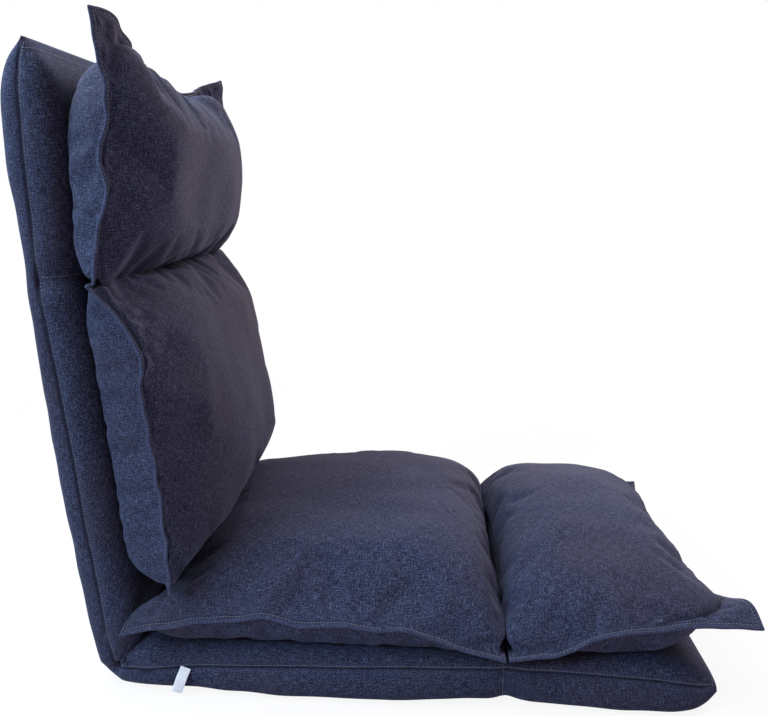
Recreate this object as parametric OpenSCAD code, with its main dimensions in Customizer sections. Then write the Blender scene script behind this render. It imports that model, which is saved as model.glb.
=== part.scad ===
// Folding floor chair: four hinged pads in one fabric cover, with four overlay pillows.
// Millimetres, +Z up, the sitter faces -Y, origin on the floor under the middle of the seat pad.

/* [Pads] */
// Width of the pads
pad_w = 500; // [440:5:560]
// Thickness of the seat, back and foot pads
pad_t = 66; // [60:1:80]
// Height of the hinge axes above the underside of the pads
axis_z = 40; // [36:1:44]
// Length of the seat pad between its two hinge axes
seat_len = 510; // [460:5:560]
// Length of the back pad between its two hinge axes
back_len = 510; // [460:5:560]
// Length of the head pad from its hinge axis to its top edge
head_len = 272; // [240:4:320]
// Length of the foot pad from its hinge axis to its front edge
foot_len = 270; // [240:4:320]
// How much thicker the head pad swells at its rear
head_swell = 14; // [0:1:20]
// Thickness of the cover with its lining
cover_t = 1.8; // [1.2:0.1:2.4]
// Clearance between soft layers
soft_gap = 0.4; // [0.3:0.1:0.8]
// Gap left between two pads at a fold
fold_gap = 1; // [0.8:0.1:2]

/* [Posture at rest] */
// How far the back leans past upright, a whole number of ratchet steps
back_lean = 5; // [0:5:20]
// How far the head pad tips forward of the back, a whole number of ratchet steps
head_tip = 5; // [0:5:20]
// Smallest angle between the seat and the back when folded for storage
closed_angle = 35; // [30:1:50]

/* [Pillows] */
// How far the flanges of the pillows stand out past each side of the pads
pillow_over = 20; // [0:1:40]
// Gap between the front of the seat pillow and the foot hinge line
seat_pillow_inset = 4; // [2:1:12]
// Gap between the rear of the seat pillow and the back hinge line
seat_pillow_gap = 22; // [10:1:50]
// Gap between the top of the lumbar pillow and the head hinge line
lumbar_pillow_inset = 10; // [8:1:20]
// Distance of the lower edge of the lumbar pillow from the back hinge line
lumbar_pillow_rise = 108; // [100:2:160]
// How far the head pillow reaches past the top of its pad
head_pillow_over = 25; // [0:1:50]
// How far the foot pillow reaches past the front of its pad
foot_pillow_over = 33; // [0:1:50]
// Distance of the head and foot pillows from their hinge line
end_pillow_inset = 5; // [4:1:12]
// Height of the seat pillow over its pad
seat_crown = 117; // [80:1:130]
// Height of the lumbar pillow over its pad
lumbar_crown = 119; // [80:1:130]
// Height of the head pillow over its pad
head_crown = 104; // [70:1:120]
// Height of the foot pillow over its pad
foot_crown = 104; // [70:1:120]
// Height of the seam of the seat, lumbar and foot pillows over the pad
seam_h = 46; // [34:1:56]
// Height of the seam of the head pillow over its pad
head_seam_h = 36; // [30:1:50]
// Width of the stitched flange round a pillow
flange_w = 11; // [8:1:16]
// Thickness of one pillow panel
panel_t = 1.6; // [1.2:0.1:2.2]
// How far the long sides of a pillow draw in between the corners
side_draw = 9; // [4:1:20]
// How far the edges that face another pillow draw in
fold_draw = 3; // [0:1:10]
// How far the top of the head pillow and the front of the foot pillow draw in
free_draw = 38; // [4:1:50]
// How squarely a pillow fills out across the chair, as a power
across_power = 4; // [2:0.5:8]
// How squarely a pillow fills out along the chair, as a power
along_power = 7; // [3:0.5:9]
// The same towards the top of the head pillow and the front of the foot pillow
free_power = 4.5; // [2:0.5:8]
// Share of its height that the seat pillow loses towards its rear edge, under the lumbar pillow
rear_fall_share = 0.36; // [0:0.02:0.5]
// How far the corners of the seat and lumbar pillows droop
corner_droop = 22; // [0:1:26]
// How far the front edge of the foot pillow lifts
foot_lift = 14; // [0:1:24]

/* [Frame] */
// Outer diameter of the frame tubes
tube_d = 19; // [16:0.5:20]
// Wall of the frame tubes
tube_wall = 1.5; // [1:0.1:2]
// Distance of a side tube's centre from the side of its pad
tube_inset = 45; // [40:1:80]
// Distance from a hinge axis to the end of a side tube
tube_start = 46; // [44:1:56]
// Distance from a hinge axis to the first cross tube
cross_start = 96; // [92:1:120]
// Bend radius of the head and foot hoops
bend_r = 45; // [36:1:60]
// Distance from the free edge of a pad to its hoop
hoop_inset = 56; // [48:1:70]
// Width of a support strap
strap_w = 42; // [30:1:50]
// Thickness of a support strap
strap_t = 2; // [1.5:0.1:3]
// Number of straps under the seat
seat_straps = 5; // [3:1:5]
// Number of straps behind the back
back_straps = 4; // [3:1:5]

/* [Ratchet hinges] */
// Angle of one ratchet step
step_deg = 5; // [5:5:5]
// Steps in the head and foot ratchets
end_steps = 18; // [12:1:18]
// Tip radius of the toothed plate
gear_tip_r = 19; // [18:0.5:20]
// Depth of the teeth
tooth_depth = 1.8; // [1.4:0.1:2]
// Thickness of the toothed plate
gear_t = 4; // [3:0.1:4.4]
// Thickness of a cheek plate
cheek_t = 2.2; // [1.8:0.1:2.4]
// Radius of the cheek plates
cheek_r = 22; // [21:0.5:22]
// Side clearance between the plates
plate_gap = 0.3; // [0.2:0.05:0.4]
// Radius of the pivot rivet
pivot_r = 4; // [3:0.5:5]
// Radius of the small rivets
small_rivet_r = 2; // [1.5:0.25:2.5]
// Radial clearance of the rivets in their holes
rivet_fit = 0.05; // [0.03:0.01:0.08]
// Height of a rivet head
rivet_head_t = 1.4; // [1:0.1:1.6]
// Length of a plate's tang inside a tube
tang_len = 34; // [26:1:38]
// Swing of a pawl from released to engaged
pawl_swing = 8; // [7:0.5:9]

/* [Side tag] */
// Width of the blank side tag
tag_w = 17; // [12:1:24]
// Length of the blank side tag below the side seam
tag_len = 23; // [16:1:28]
// Thickness of the folded tag
tag_t = 1.2; // [0.8:0.1:2]
// Distance of the tag's front edge from the back hinge line
tag_inset = 83; // [60:1:130]

/* [Hidden] */

denim = "#2f3a52";
denim_lit = "#3b4a68";
foam_colour = "#d9cfae";
fibre_colour = "#e9e9ea";
steel_colour = "#2b2c2e";
zinc_colour = "#a9adb2";
strap_colour = "#1f1f22";
tag_colour = "#e6e6f0";

overrun = 1;
face_z = pad_t - axis_z;
mid_z = face_z - pad_t / 2;
rest_angle = 90 - back_lean;
back_steps = rest_angle / step_deg;
fold_margin = 1;
pillow_w = pad_w + 2 * pillow_over;
seat_pillow_len = seat_len - seat_pillow_inset - seat_pillow_gap;
lumbar_pillow_len = back_len - lumbar_pillow_inset - lumbar_pillow_rise;
head_pillow_len = head_len - end_pillow_inset + head_pillow_over;
foot_pillow_len = foot_len - end_pillow_inset + foot_pillow_over;
back_slope = closed_angle / 2 - fold_margin;
end_slope = 90 - end_steps * step_deg / 2 - fold_margin;
tube_span = pad_w - 2 * tube_inset;
tube_r = tube_d / 2;
bore_r = tube_r - tube_wall;
half_span = tube_span / 2;
strap_z = tube_r + plate_gap;
layer_z = strap_z + strap_t + plate_gap;
foam_inset = cover_t + soft_gap;
hinge_room = tube_r + tube_wall + soft_gap;
turn_angles = [0, 18, 36, 54, 72, 90];
end_angles = [0, 30, 60, 90];
body_shares = [0, 0.33, 0.66];
rim_shares = [0, 0.28, 0.52, 0.72, 0.86, 0.935];

// Frames that carry each section: flat, the section runs along +Y from its hinge axis
module on_seat() {
    translate([0, 0, axis_z]) children();
}
module on_back() {
    translate([0, seat_len / 2, axis_z]) rotate([rest_angle, 0, 0]) children();
}
module on_head() {
    on_back() translate([0, back_len, 0]) rotate([head_tip, 0, 0]) children();
}
module on_foot() {
    translate([0, -seat_len / 2, axis_z]) rotate([0, 0, 180]) children();
}

// A closed solid between an upper and a lower grid of points, rows along +Y and columns along +X
module sheet_solid(upper, lower) {
    nr = len(upper);
    nc = len(upper[0]);
    below = nr * nc;
    polyhedron(
        points = concat([for (row = upper) each row], [for (row = lower) each row]),
        faces = concat(
            [for (j = [0 : nc - 2]) let (a = j, b = below + j)
                each [[a, a + 1, b + 1], [a, b + 1, b]]],
            [for (j = [0 : nc - 2]) let (a = (nr - 1) * nc + j, b = below + a)
                each [[a + 1, a, b], [a + 1, b, b + 1]]],
            [for (i = [0 : nr - 2]) let (a = i * nc, b = below + a)
                each [[a + nc, a, b], [a + nc, b, b + nc]]],
            [for (i = [0 : nr - 2]) let (a = i * nc + nc - 1, b = below + a)
                each [[a, a + nc, b + nc], [a, b + nc, b]]],
            [for (i = [0 : nr - 2]) for (j = [0 : nc - 2]) let (a = i * nc + j)
                each [[a, a + nc, a + nc + 1], [a, a + nc + 1, a + 1]]],
            [for (i = [0 : nr - 2]) for (j = [0 : nc - 2]) let (a = below + i * nc + j)
                each [[a, a + nc + 1, a + nc], [a, a + 1, a + nc + 1]]]
        )
    );
}

// Where a fold cuts a pad's inner side back: a plane through the hinge axis at this slope
function fold_cut(z, slope) = fold_gap / 2 + (z > 0 ? z / tan(slope) : 0);

// Cross-section of one cover panel, from the -X seam over the face to the +X seam
function section_points(inset) =
    let (r = pad_t / 2 - inset, hw = pad_w / 2 - inset)
    concat(
        [for (a = turn_angles) [-(hw - r + r * cos(a)), r * sin(a)]],
        [for (k = [len(turn_angles) - 1 : -1 : 0]) let (a = turn_angles[k])
            [hw - r + r * cos(a), r * sin(a)]]
    );

// Rows of a pad panel that runs between two folds
function bridge_rows(length, side, inset, slope_a, slope_b) =
    [for (t = concat(body_shares, [1]))
        [for (p = section_points(inset)) let (
            z = mid_z + side * p[1],
            y0 = fold_cut(z, slope_a),
            y1 = length - fold_cut(z, slope_b)
        ) [p[0], y0 + (y1 - y0) * t, z]]];

// Rows of a pad panel that runs from a fold to a closed, rounded edge
function end_rows(length, side, inset, slope, swell) =
    let (r = pad_t / 2 - inset, run = length - inset - r)
    concat(
        [for (t = body_shares)
            [for (p = section_points(inset)) let (
                z = mid_z + side * p[1],
                y0 = fold_cut(z, slope)
            ) [p[0], y0 + (run - y0) * t, z + side * swell * p[1] / r * sin(180 * t)]]],
        [for (a = end_angles)
            [for (p = section_points(inset))
                [p[0], run + r * sin(a), mid_z + side * p[1] * cos(a)]]]
    );

module bridge_panel(length, side, slope_a, slope_b) {
    outer = bridge_rows(length, side, 0, slope_a, slope_b);
    inner = bridge_rows(length, side, cover_t, slope_a, slope_b);
    if (side > 0) sheet_solid(outer, inner);
    else sheet_solid(inner, outer);
}
module end_panel(length, side, slope, swell) {
    outer = end_rows(length, side, 0, slope, swell);
    inner = end_rows(length, side, cover_t, slope, swell);
    if (side > 0) sheet_solid(outer, inner);
    else sheet_solid(inner, outer);
}

// Foam block with rounded sides, between two heights, cut back at its folds
module foam_block(length, low_z, high_z, slope_a, slope_b) {
    r = pad_t / 2 - foam_inset;
    core_w = pad_w - pad_t;
    run = length - (slope_b > 0 ? fold_gap : pad_t / 2);
    difference() {
        intersection() {
            union() {
                translate([-core_w / 2, fold_gap, mid_z - r]) cube([core_w, run - fold_gap, 2 * r]);
                for (sx = [-1, 1]) translate([sx * core_w / 2, run, mid_z]) rotate([90, 0, 0])
                    cylinder(r = r, h = run - fold_gap, $fn = 48);
            }
            translate([-pad_w, 0, low_z]) cube([2 * pad_w, length, high_z - low_z]);
        }
        if (high_z > 0) {
            translate([-pad_w, fold_gap, 0]) rotate([slope_a - 90, 0, 0])
                translate([0, -length, 0]) cube([2 * pad_w, length, length]);
            if (slope_b > 0) translate([-pad_w, length - fold_gap, 0]) rotate([90 - slope_b, 0, 0])
                cube([2 * pad_w, length, length]);
        }
        hinge_pockets();
        if (slope_b > 0) translate([0, length, 0]) mirror([0, 1, 0]) hinge_pockets();
    }
}
// Room round the hinge plates, in every soft layer
module hinge_pockets() {
    for (sx = [-1, 1]) translate([sx * half_span - hinge_room, -overrun, -pad_t])
        cube([2 * hinge_room, tube_start + overrun, 2 * pad_t]);
}

// Channels for a frame in the lower foam
module side_channels(y0, y1) {
    for (sx = [-1, 1]) translate([sx * half_span - tube_r - soft_gap, y0, -tube_r - soft_gap])
        cube([tube_d + 2 * soft_gap, y1 - y0, pad_t]);
}
module cross_channel(y) {
    translate([-half_span, y - tube_r - soft_gap, -tube_r - soft_gap])
        cube([tube_span, tube_d + 2 * soft_gap, pad_t]);
}

// Tubes
module side_tubes(r, y0, y1) {
    for (sx = [-1, 1]) translate([sx * half_span, y0, 0]) rotate([-90, 0, 0])
        cylinder(r = r, h = y1 - y0, $fn = 48);
}
module cross_tube(r, y) {
    translate([-half_span, y, 0]) rotate([0, 90, 0]) cylinder(r = r, h = tube_span, $fn = 48);
}
module ladder_frame(length) {
    difference() {
        union() {
            side_tubes(tube_r, tube_start, length - tube_start);
            cross_tube(tube_r, cross_start);
            cross_tube(tube_r, length - cross_start);
        }
        side_tubes(bore_r, tube_start - overrun, length - tube_start + overrun);
        cross_tube(bore_r, cross_start);
        cross_tube(bore_r, length - cross_start);
    }
}
module hoop_bend(r, y) {
    for (sx = [-1, 1]) translate([sx * (half_span - bend_r), y, 0]) mirror([sx > 0 ? 0 : 1, 0, 0])
        rotate_extrude(angle = 90, $fn = 64) translate([bend_r, 0]) circle(r = r, $fn = 48);
}
module hoop_tube(r, y0, y1) {
    side_tubes(r, y0, y1);
    hoop_bend(r, y1);
    translate([-(half_span - bend_r), y1 + bend_r, 0]) rotate([0, 90, 0])
        cylinder(r = r, h = tube_span - 2 * bend_r, $fn = 48);
}
module hoop_frame(length) {
    turn_y = length - hoop_inset - bend_r;
    difference() {
        hoop_tube(tube_r, tube_start, turn_y);
        side_tubes(bore_r, tube_start - overrun, turn_y);
        hoop_bend(bore_r, turn_y);
        translate([-(half_span - bend_r), turn_y + bend_r, 0]) rotate([0, 90, 0])
            cylinder(r = bore_r, h = tube_span - 2 * bend_r, $fn = 48);
    }
}
module straps(length, count) {
    first = cross_start + tube_d + strap_w / 2;
    pitch = (length - 2 * first) / (count - 1);
    for (k = [0 : count - 1]) translate([-half_span - tube_r, first + k * pitch - strap_w / 2, strap_z])
        cube([tube_span + tube_d, strap_w, strap_t]);
}

// Ratchet hinge, drawn round its axis with the parent section towards -Y and the child towards +Y
root_r = gear_tip_r - tooth_depth;
tang_h = 2 * sqrt(pow(bore_r - rivet_fit, 2) - pow(gear_t / 2, 2));
cheek_x = gear_t / 2 + plate_gap;
cheek_tang_h = 2 * sqrt(pow(bore_r - rivet_fit, 2) - pow(cheek_x + cheek_t, 2));
pawl_pivot = [gear_tip_r, -0.79 * gear_tip_r];
pawl_bore_r = small_rivet_r + rivet_fit;
pawl_boss_r = small_rivet_r + 1.5 * rivet_head_t;
spacer_y = cheek_r + 3.5 * pivot_r;
nose_clear = 0.16 * tooth_depth;

// The toothed rim: one space for each step, a tip between two spaces, and a plain rim elsewhere
function gear_outline(steps) = concat(
    [for (k = [0 : steps]) each [
        [gear_tip_r * cos((k - 0.5) * step_deg), gear_tip_r * sin((k - 0.5) * step_deg)],
        [root_r * cos(k * step_deg), root_r * sin(k * step_deg)]
    ]],
    [[gear_tip_r * cos((steps + 0.5) * step_deg), gear_tip_r * sin((steps + 0.5) * step_deg)]],
    [for (a = [(steps + 1) * step_deg : step_deg : 360 - step_deg]) [root_r * cos(a), root_r * sin(a)]]
);
module gear_plate(steps) {
    difference() {
        union() {
            translate([-gear_t / 2, 0, 0]) rotate([90, 0, 90]) linear_extrude(gear_t)
                polygon(gear_outline(steps));
            translate([-gear_t / 2, -tube_start - tang_len, -tang_h / 2])
                cube([gear_t, tube_start + tang_len - root_r / 2, tang_h]);
        }
        rotate([0, 90, 0]) cylinder(r = pivot_r + rivet_fit, h = 2 * gear_t, center = true, $fn = 48);
    }
}
module cheek_pair() {
    for (sx = [-1, 1]) translate([sx > 0 ? cheek_x : -cheek_x - cheek_t, 0, 0]) difference() {
        union() {
            rotate([0, 90, 0]) cylinder(r = cheek_r, h = cheek_t, $fn = 64);
            translate([0, pawl_pivot[0], pawl_pivot[1]]) rotate([0, 90, 0])
                cylinder(r = pawl_boss_r + rivet_head_t, h = cheek_t, $fn = 48);
            translate([0, root_r, -cheek_tang_h / 2])
                cube([cheek_t, tube_start + tang_len - root_r, cheek_tang_h]);
        }
        translate([-overrun, 0, 0]) rotate([0, 90, 0])
            cylinder(r = pivot_r + rivet_fit, h = cheek_t + 2 * overrun, $fn = 48);
        for (p = [pawl_pivot, [spacer_y, 0]]) translate([-overrun, p[0], p[1]]) rotate([0, 90, 0])
            cylinder(r = pawl_bore_r, h = cheek_t + 2 * overrun, $fn = 32);
    }
}
// A pawl, released: its nose clears the tips of the teeth
module pawl() {
    reach = -pawl_pivot[1];
    nose_y = root_r + nose_clear - pawl_pivot[0];
    shoulder_y = gear_tip_r + nose_clear - pawl_pivot[0];
    half_nose = 0.5 * root_r * sin(step_deg / 2);
    back_y = pawl_boss_r;
    t = gear_t - plate_gap;
    translate([0, pawl_pivot[0], pawl_pivot[1]]) rotate([-pawl_swing, 0, 0]) difference() {
        union() {
            translate([-t / 2, 0, 0]) rotate([90, 0, 90]) linear_extrude(t) polygon([
                [shoulder_y, 0], [shoulder_y, reach - half_nose], [nose_y, reach],
                [shoulder_y, reach + half_nose], [back_y, reach + half_nose], [back_y, 0]
            ]);
            translate([-t / 2, 0, 0]) rotate([0, 90, 0]) cylinder(r = pawl_boss_r, h = t, $fn = 48);
        }
        rotate([0, 90, 0]) cylinder(r = pawl_bore_r, h = 2 * t, center = true, $fn = 32);
    }
}
module rivet(r, head_r) {
    grip = cheek_x + cheek_t;
    rotate([0, 90, 0]) cylinder(r = r, h = 2 * grip, center = true, $fn = 48);
    for (sx = [-1, 1]) translate([sx > 0 ? grip : -grip - rivet_head_t, 0, 0]) rotate([0, 90, 0])
        cylinder(r = head_r, h = rivet_head_t, $fn = 48);
}
module hinge_rivets() {
    rivet(pivot_r, 1.5 * pivot_r);
    translate([0, pawl_pivot[0], pawl_pivot[1]]) rivet(small_rivet_r, 1.7 * small_rivet_r);
    translate([0, spacer_y, 0]) rivet(small_rivet_r, 1.7 * small_rivet_r);
}
// Leaf spring between the spacer rivet and the back of the pawl
module pawl_spring() {
    leaf_t = 0.35 * small_rivet_r;
    push_y = pawl_pivot[0] + pawl_boss_r * cos(pawl_swing) - pawl_pivot[1] * sin(pawl_swing);
    translate([-gear_t / 4, 0, 0]) rotate([90, 0, 90]) linear_extrude(gear_t / 2) polygon([
        [push_y + plate_gap, 0], [spacer_y - small_rivet_r - plate_gap, leaf_t],
        [spacer_y - small_rivet_r - plate_gap, 2 * leaf_t], [push_y + plate_gap, leaf_t]
    ]);
}
module at_right() {
    translate([-half_span, 0, 0]) children();
}
module at_left() {
    translate([half_span, 0, 0]) children();
}
module at_both() {
    at_right() children();
    at_left() children();
}

// Pillow surfaces, flat on their pad: x across, y along, z over the pad's face
flange_share = 1 - 2 * flange_w / pillow_w;
grid_shares = concat(
    [-1, -flange_share],
    [for (k = [len(rim_shares) - 1 : -1 : 1]) -rim_shares[k]],
    rim_shares, [flange_share, 1]
);
function fill_of(t, power) = sqrt(max(0, 1 - pow(abs(t) / flange_share, power)));
function swell_of(u, v, end_power) =
    fill_of(u, across_power) * fill_of(v, v > 0 ? end_power : along_power);
function fall_of(v, fall) = 1 - fall * pow(max(0, -v), 2);
function plan_x(u, v) = (pillow_w / 2 - side_draw * (1 - v * v)) * u;
function plan_y(u, v, half, end_draw) = (half - (v > 0 ? end_draw : fold_draw) * (1 - u * u)) * v;
function seam_at(u, v, seam, droop, lift) = seam - droop * pow(abs(u * v), 3) + lift * pow(max(0, v), 2);
function pillow_rows(half, seam, droop, lift, end_draw, end_power, shares, height, fall) =
    [for (v = shares) [for (u = shares)
        [plan_x(u, v), plan_y(u, v, half, end_draw), seam_at(u, v, seam, droop, lift)
            + height * fall_of(v, fall) * swell_of(u, v, end_power)]]];
function raised(rows, dz) = [for (row = rows) [for (p = row) [p[0], p[1], p[2] + dz]]];
// The rear panel bulges down on to the pad and lies flat on it
function rear_rows(half, seam, droop, lift, end_draw, end_power, shares) =
    [for (row = pillow_rows(half, seam, droop, lift, end_draw, end_power, shares, -1.5 * seam, 0))
        [for (p = row) [p[0], p[1], max(p[2], soft_gap + panel_t)]]];
inner_shares = [for (k = [2 : len(grid_shares) - 3]) grid_shares[k]];

module pillow_face(half, seam, crown, droop, lift, end_draw, end_power, fall) {
    height = crown - seam - panel_t;
    rows = pillow_rows(half, seam, droop, lift, end_draw, end_power, grid_shares, height, fall);
    sheet_solid(raised(rows, panel_t), rows);
}
module pillow_rear(half, seam, droop, lift, end_draw, end_power) {
    rows = rear_rows(half, seam, droop, lift, end_draw, end_power, grid_shares);
    sheet_solid(rows, raised(rows, -panel_t));
}
module pillow_filling(half, seam, crown, droop, lift, end_draw, end_power, fall) {
    height = crown - seam - panel_t;
    upper = pillow_rows(half, seam, droop, lift, end_draw, end_power, inner_shares, height, fall);
    lower = rear_rows(half, seam, droop, lift, end_draw, end_power, inner_shares);
    sheet_solid(raised(upper, -soft_gap), raised(lower, soft_gap));
}
module on_seat_pad() {
    on_seat() translate([0, seat_pillow_len / 2 + seat_pillow_inset - seat_len / 2, face_z])
        rotate([0, 0, 180]) children();
}
module on_lumbar_pad() {
    on_back() translate([0, back_len - lumbar_pillow_inset - lumbar_pillow_len / 2, face_z]) children();
}
module on_head_pad() {
    on_head() translate([0, end_pillow_inset + head_pillow_len / 2, face_z]) children();
}
module on_foot_pad() {
    on_foot() translate([0, end_pillow_inset + foot_pillow_len / 2, face_z]) children();
}

// Soft wedge in the notch of a fold's inner side, drawn in the parent's frame; spread is the angle
// between the two sections at rest
module fold_wedge(slope, spread) {
    core_w = pad_w - pad_t;
    face = face_z - cover_t;
    apex = 2 * fold_gap + soft_gap;
    reach = fold_gap / 2 + face / tan(slope) - soft_gap / sin(slope);
    rim_r = norm([reach, face]);
    rim_angle = atan2(face, reach);
    half_line = [cos(spread / 2), sin(spread / 2)];
    difference() {
        translate([core_w / 2, 0, 0]) rotate([90, 0, -90]) linear_extrude(core_w) polygon([
            apex * half_line, [reach, face], face / sin(spread / 2) * half_line,
            rim_r * [cos(spread - rim_angle), sin(spread - rim_angle)]
        ]);
        for (sx = [-1, 1]) translate([sx * half_span, 0, 0])
            cube([2 * hinge_room, 2 * tube_start, 2 * tube_start], center = true);
    }
}
// Soft sector at the outer side of a fold, between the end planes of the two sections
module heel_slice(x0, x1, spread) {
    turns = [for (a = [0 : step_deg : 180 - spread]) a - 90];
    outer_r = axis_z - soft_gap;
    translate([x0, 0, 0]) rotate([90, 0, 90]) linear_extrude(x1 - x0) polygon(concat(
        [for (a = turns) [outer_r * cos(a), outer_r * sin(a)]],
        [for (k = [len(turns) - 1 : -1 : 0]) [cheek_r * cos(turns[k]), cheek_r * sin(turns[k])]]
    ));
}
module heel_sector(spread) {
    core_x = pad_w / 2 - pad_t / 2;
    heel_slice(-core_x, -half_span - hinge_room, spread);
    heel_slice(hinge_room - half_span, half_span - hinge_room, spread);
    heel_slice(half_span + hinge_room, core_x, spread);
}

// Seat
module seat_span() {
    on_seat() translate([0, -seat_len / 2, 0]) children();
}
module seat_frame() {
    color(steel_colour) seat_span() ladder_frame(seat_len);
}
module seat_webbing() {
    color(strap_colour) seat_span() straps(seat_len, seat_straps);
}
module seat_foam_top() {
    color(foam_colour) seat_span()
        foam_block(seat_len, layer_z, face_z - foam_inset, end_slope, back_slope);
}
module seat_foam_base() {
    color(foam_colour) seat_span() difference() {
        foam_block(seat_len, mid_z - pad_t / 2 + foam_inset, tube_r, end_slope, back_slope);
        side_channels(-overrun, seat_len + overrun);
        cross_channel(cross_start);
        cross_channel(seat_len - cross_start);
    }
}
module seat_cover_top() {
    color(denim) seat_span() bridge_panel(seat_len, 1, end_slope, back_slope);
}
module seat_cover_base() {
    color(denim) seat_span() bridge_panel(seat_len, -1, end_slope, back_slope);
}
module seat_pillow_top() {
    color(denim) on_seat_pad()
        pillow_face(seat_pillow_len / 2, seam_h, seat_crown, corner_droop, 0, fold_draw,
            along_power, rear_fall_share);
}
module seat_pillow_under() {
    color(denim_lit) on_seat_pad()
        pillow_rear(seat_pillow_len / 2, seam_h, corner_droop, 0, fold_draw, along_power);
}
module seat_pillow_filling() {
    color(fibre_colour) on_seat_pad()
        pillow_filling(seat_pillow_len / 2, seam_h, seat_crown, corner_droop, 0, fold_draw,
            along_power, rear_fall_share);
}
module side_tag() {
    color(tag_colour)
        translate([-pad_w / 2 - soft_gap - tag_t, seat_len / 2 - tag_inset, pad_t / 2 - tag_len])
        cube([tag_t, tag_w, tag_len]);
}

// Back
module back_frame() {
    color(steel_colour) on_back() ladder_frame(back_len);
}
module back_webbing() {
    color(strap_colour) on_back() straps(back_len, back_straps);
}
module back_foam_front() {
    color(foam_colour) on_back()
        foam_block(back_len, layer_z, face_z - foam_inset, back_slope, end_slope);
}
module back_foam_rear() {
    color(foam_colour) on_back() difference() {
        foam_block(back_len, mid_z - pad_t / 2 + foam_inset, tube_r, back_slope, end_slope);
        side_channels(-overrun, back_len + overrun);
        cross_channel(cross_start);
        cross_channel(back_len - cross_start);
    }
}
module back_cover_front() {
    color(denim) on_back() bridge_panel(back_len, 1, back_slope, end_slope);
}
module back_cover_rear() {
    color(denim_lit) on_back() bridge_panel(back_len, -1, back_slope, end_slope);
}
module lumbar_pillow_front() {
    color(denim) on_lumbar_pad()
        pillow_face(lumbar_pillow_len / 2, seam_h, lumbar_crown, corner_droop, 0, fold_draw, along_power, 0);
}
module lumbar_pillow_rear() {
    color(denim_lit) on_lumbar_pad()
        pillow_rear(lumbar_pillow_len / 2, seam_h, corner_droop, 0, fold_draw, along_power);
}
module lumbar_pillow_filling() {
    color(fibre_colour) on_lumbar_pad()
        pillow_filling(lumbar_pillow_len / 2, seam_h, lumbar_crown, corner_droop, 0, fold_draw,
            along_power, 0);
}

// Head
module end_foam_base(length) {
    turn_y = length - hoop_inset - bend_r;
    difference() {
        foam_block(length, mid_z - pad_t / 2 + foam_inset, tube_r, end_slope, 0);
        side_channels(-overrun, turn_y);
        translate([-half_span - tube_r - soft_gap, turn_y - overrun, -tube_r - soft_gap])
            cube([tube_span + tube_d + 2 * soft_gap, bend_r + tube_r + soft_gap + overrun, pad_t]);
    }
}
module head_frame() {
    color(steel_colour) on_head() hoop_frame(head_len);
}
module head_foam_front() {
    color(foam_colour) on_head() foam_block(head_len, layer_z, face_z - foam_inset, end_slope, 0);
}
module head_foam_rear() {
    color(foam_colour) on_head() end_foam_base(head_len);
}
module head_cover_front() {
    color(denim) on_head() end_panel(head_len, 1, end_slope, 0);
}
module head_cover_rear() {
    color(denim_lit) on_head() end_panel(head_len, -1, end_slope, head_swell);
}
module head_pillow_front() {
    color(denim) on_head_pad()
        pillow_face(head_pillow_len / 2, head_seam_h, head_crown, 0, 0, free_draw, free_power, 0);
}
module head_pillow_rear() {
    color(denim_lit) on_head_pad()
        pillow_rear(head_pillow_len / 2, head_seam_h, 0, 0, free_draw, free_power);
}
module head_pillow_filling() {
    color(fibre_colour) on_head_pad()
        pillow_filling(head_pillow_len / 2, head_seam_h, head_crown, 0, 0, free_draw,
            free_power, 0);
}

// Foot
module foot_frame() {
    color(steel_colour) on_foot() hoop_frame(foot_len);
}
module foot_foam_top() {
    color(foam_colour) on_foot() foam_block(foot_len, layer_z, face_z - foam_inset, end_slope, 0);
}
module foot_foam_base() {
    color(foam_colour) on_foot() end_foam_base(foot_len);
}
module foot_cover_top() {
    color(denim) on_foot() end_panel(foot_len, 1, end_slope, 0);
}
module foot_cover_base() {
    color(denim) on_foot() end_panel(foot_len, -1, end_slope, 0);
}
module foot_pillow_top() {
    color(denim) on_foot_pad()
        pillow_face(foot_pillow_len / 2, seam_h, foot_crown, 0, foot_lift, free_draw, free_power, 0);
}
module foot_pillow_under() {
    color(denim_lit) on_foot_pad()
        pillow_rear(foot_pillow_len / 2, seam_h, 0, foot_lift, free_draw, free_power);
}
module foot_pillow_filling() {
    color(fibre_colour) on_foot_pad()
        pillow_filling(foot_pillow_len / 2, seam_h, foot_crown, 0, foot_lift, free_draw,
            free_power, 0);
}

// Folds
module back_fold_sleeve() {
    color(denim) on_back_parent() fold_wedge(back_slope, 180 - rest_angle);
    color(denim) on_back_parent() heel_sector(180 - rest_angle);
}
module head_fold_sleeve() {
    color(denim) on_head_parent() fold_wedge(end_slope, 180 - head_tip);
}
module foot_fold_sleeve() {
    color(denim) on_foot() fold_wedge(end_slope, 180);
}

// Hinges: the back's toothed plates ride on the seat frame, and so on along the chair
module on_back_parent() {
    translate([0, seat_len / 2, axis_z]) children();
}
module on_head_parent() {
    on_back() translate([0, back_len, 0]) children();
}
module back_gear_right() {
    color(zinc_colour) on_back_parent() at_right() gear_plate(back_steps);
}
module back_gear_left() {
    color(zinc_colour) on_back_parent() at_left() gear_plate(back_steps);
}
module back_cheeks_right() {
    color(zinc_colour) on_back() at_right() cheek_pair();
}
module back_cheeks_left() {
    color(zinc_colour) on_back() at_left() cheek_pair();
}
module back_pawl_right() {
    color(zinc_colour) on_back() at_right() pawl();
}
module back_pawl_left() {
    color(zinc_colour) on_back() at_left() pawl();
}
module back_hinge_rivets() {
    color(zinc_colour) on_back() at_both() hinge_rivets();
}
module back_pawl_springs() {
    color(zinc_colour) on_back() at_both() pawl_spring();
}
module head_gear_right() {
    color(zinc_colour) on_head_parent() at_right() gear_plate(end_steps);
}
module head_gear_left() {
    color(zinc_colour) on_head_parent() at_left() gear_plate(end_steps);
}
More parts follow.
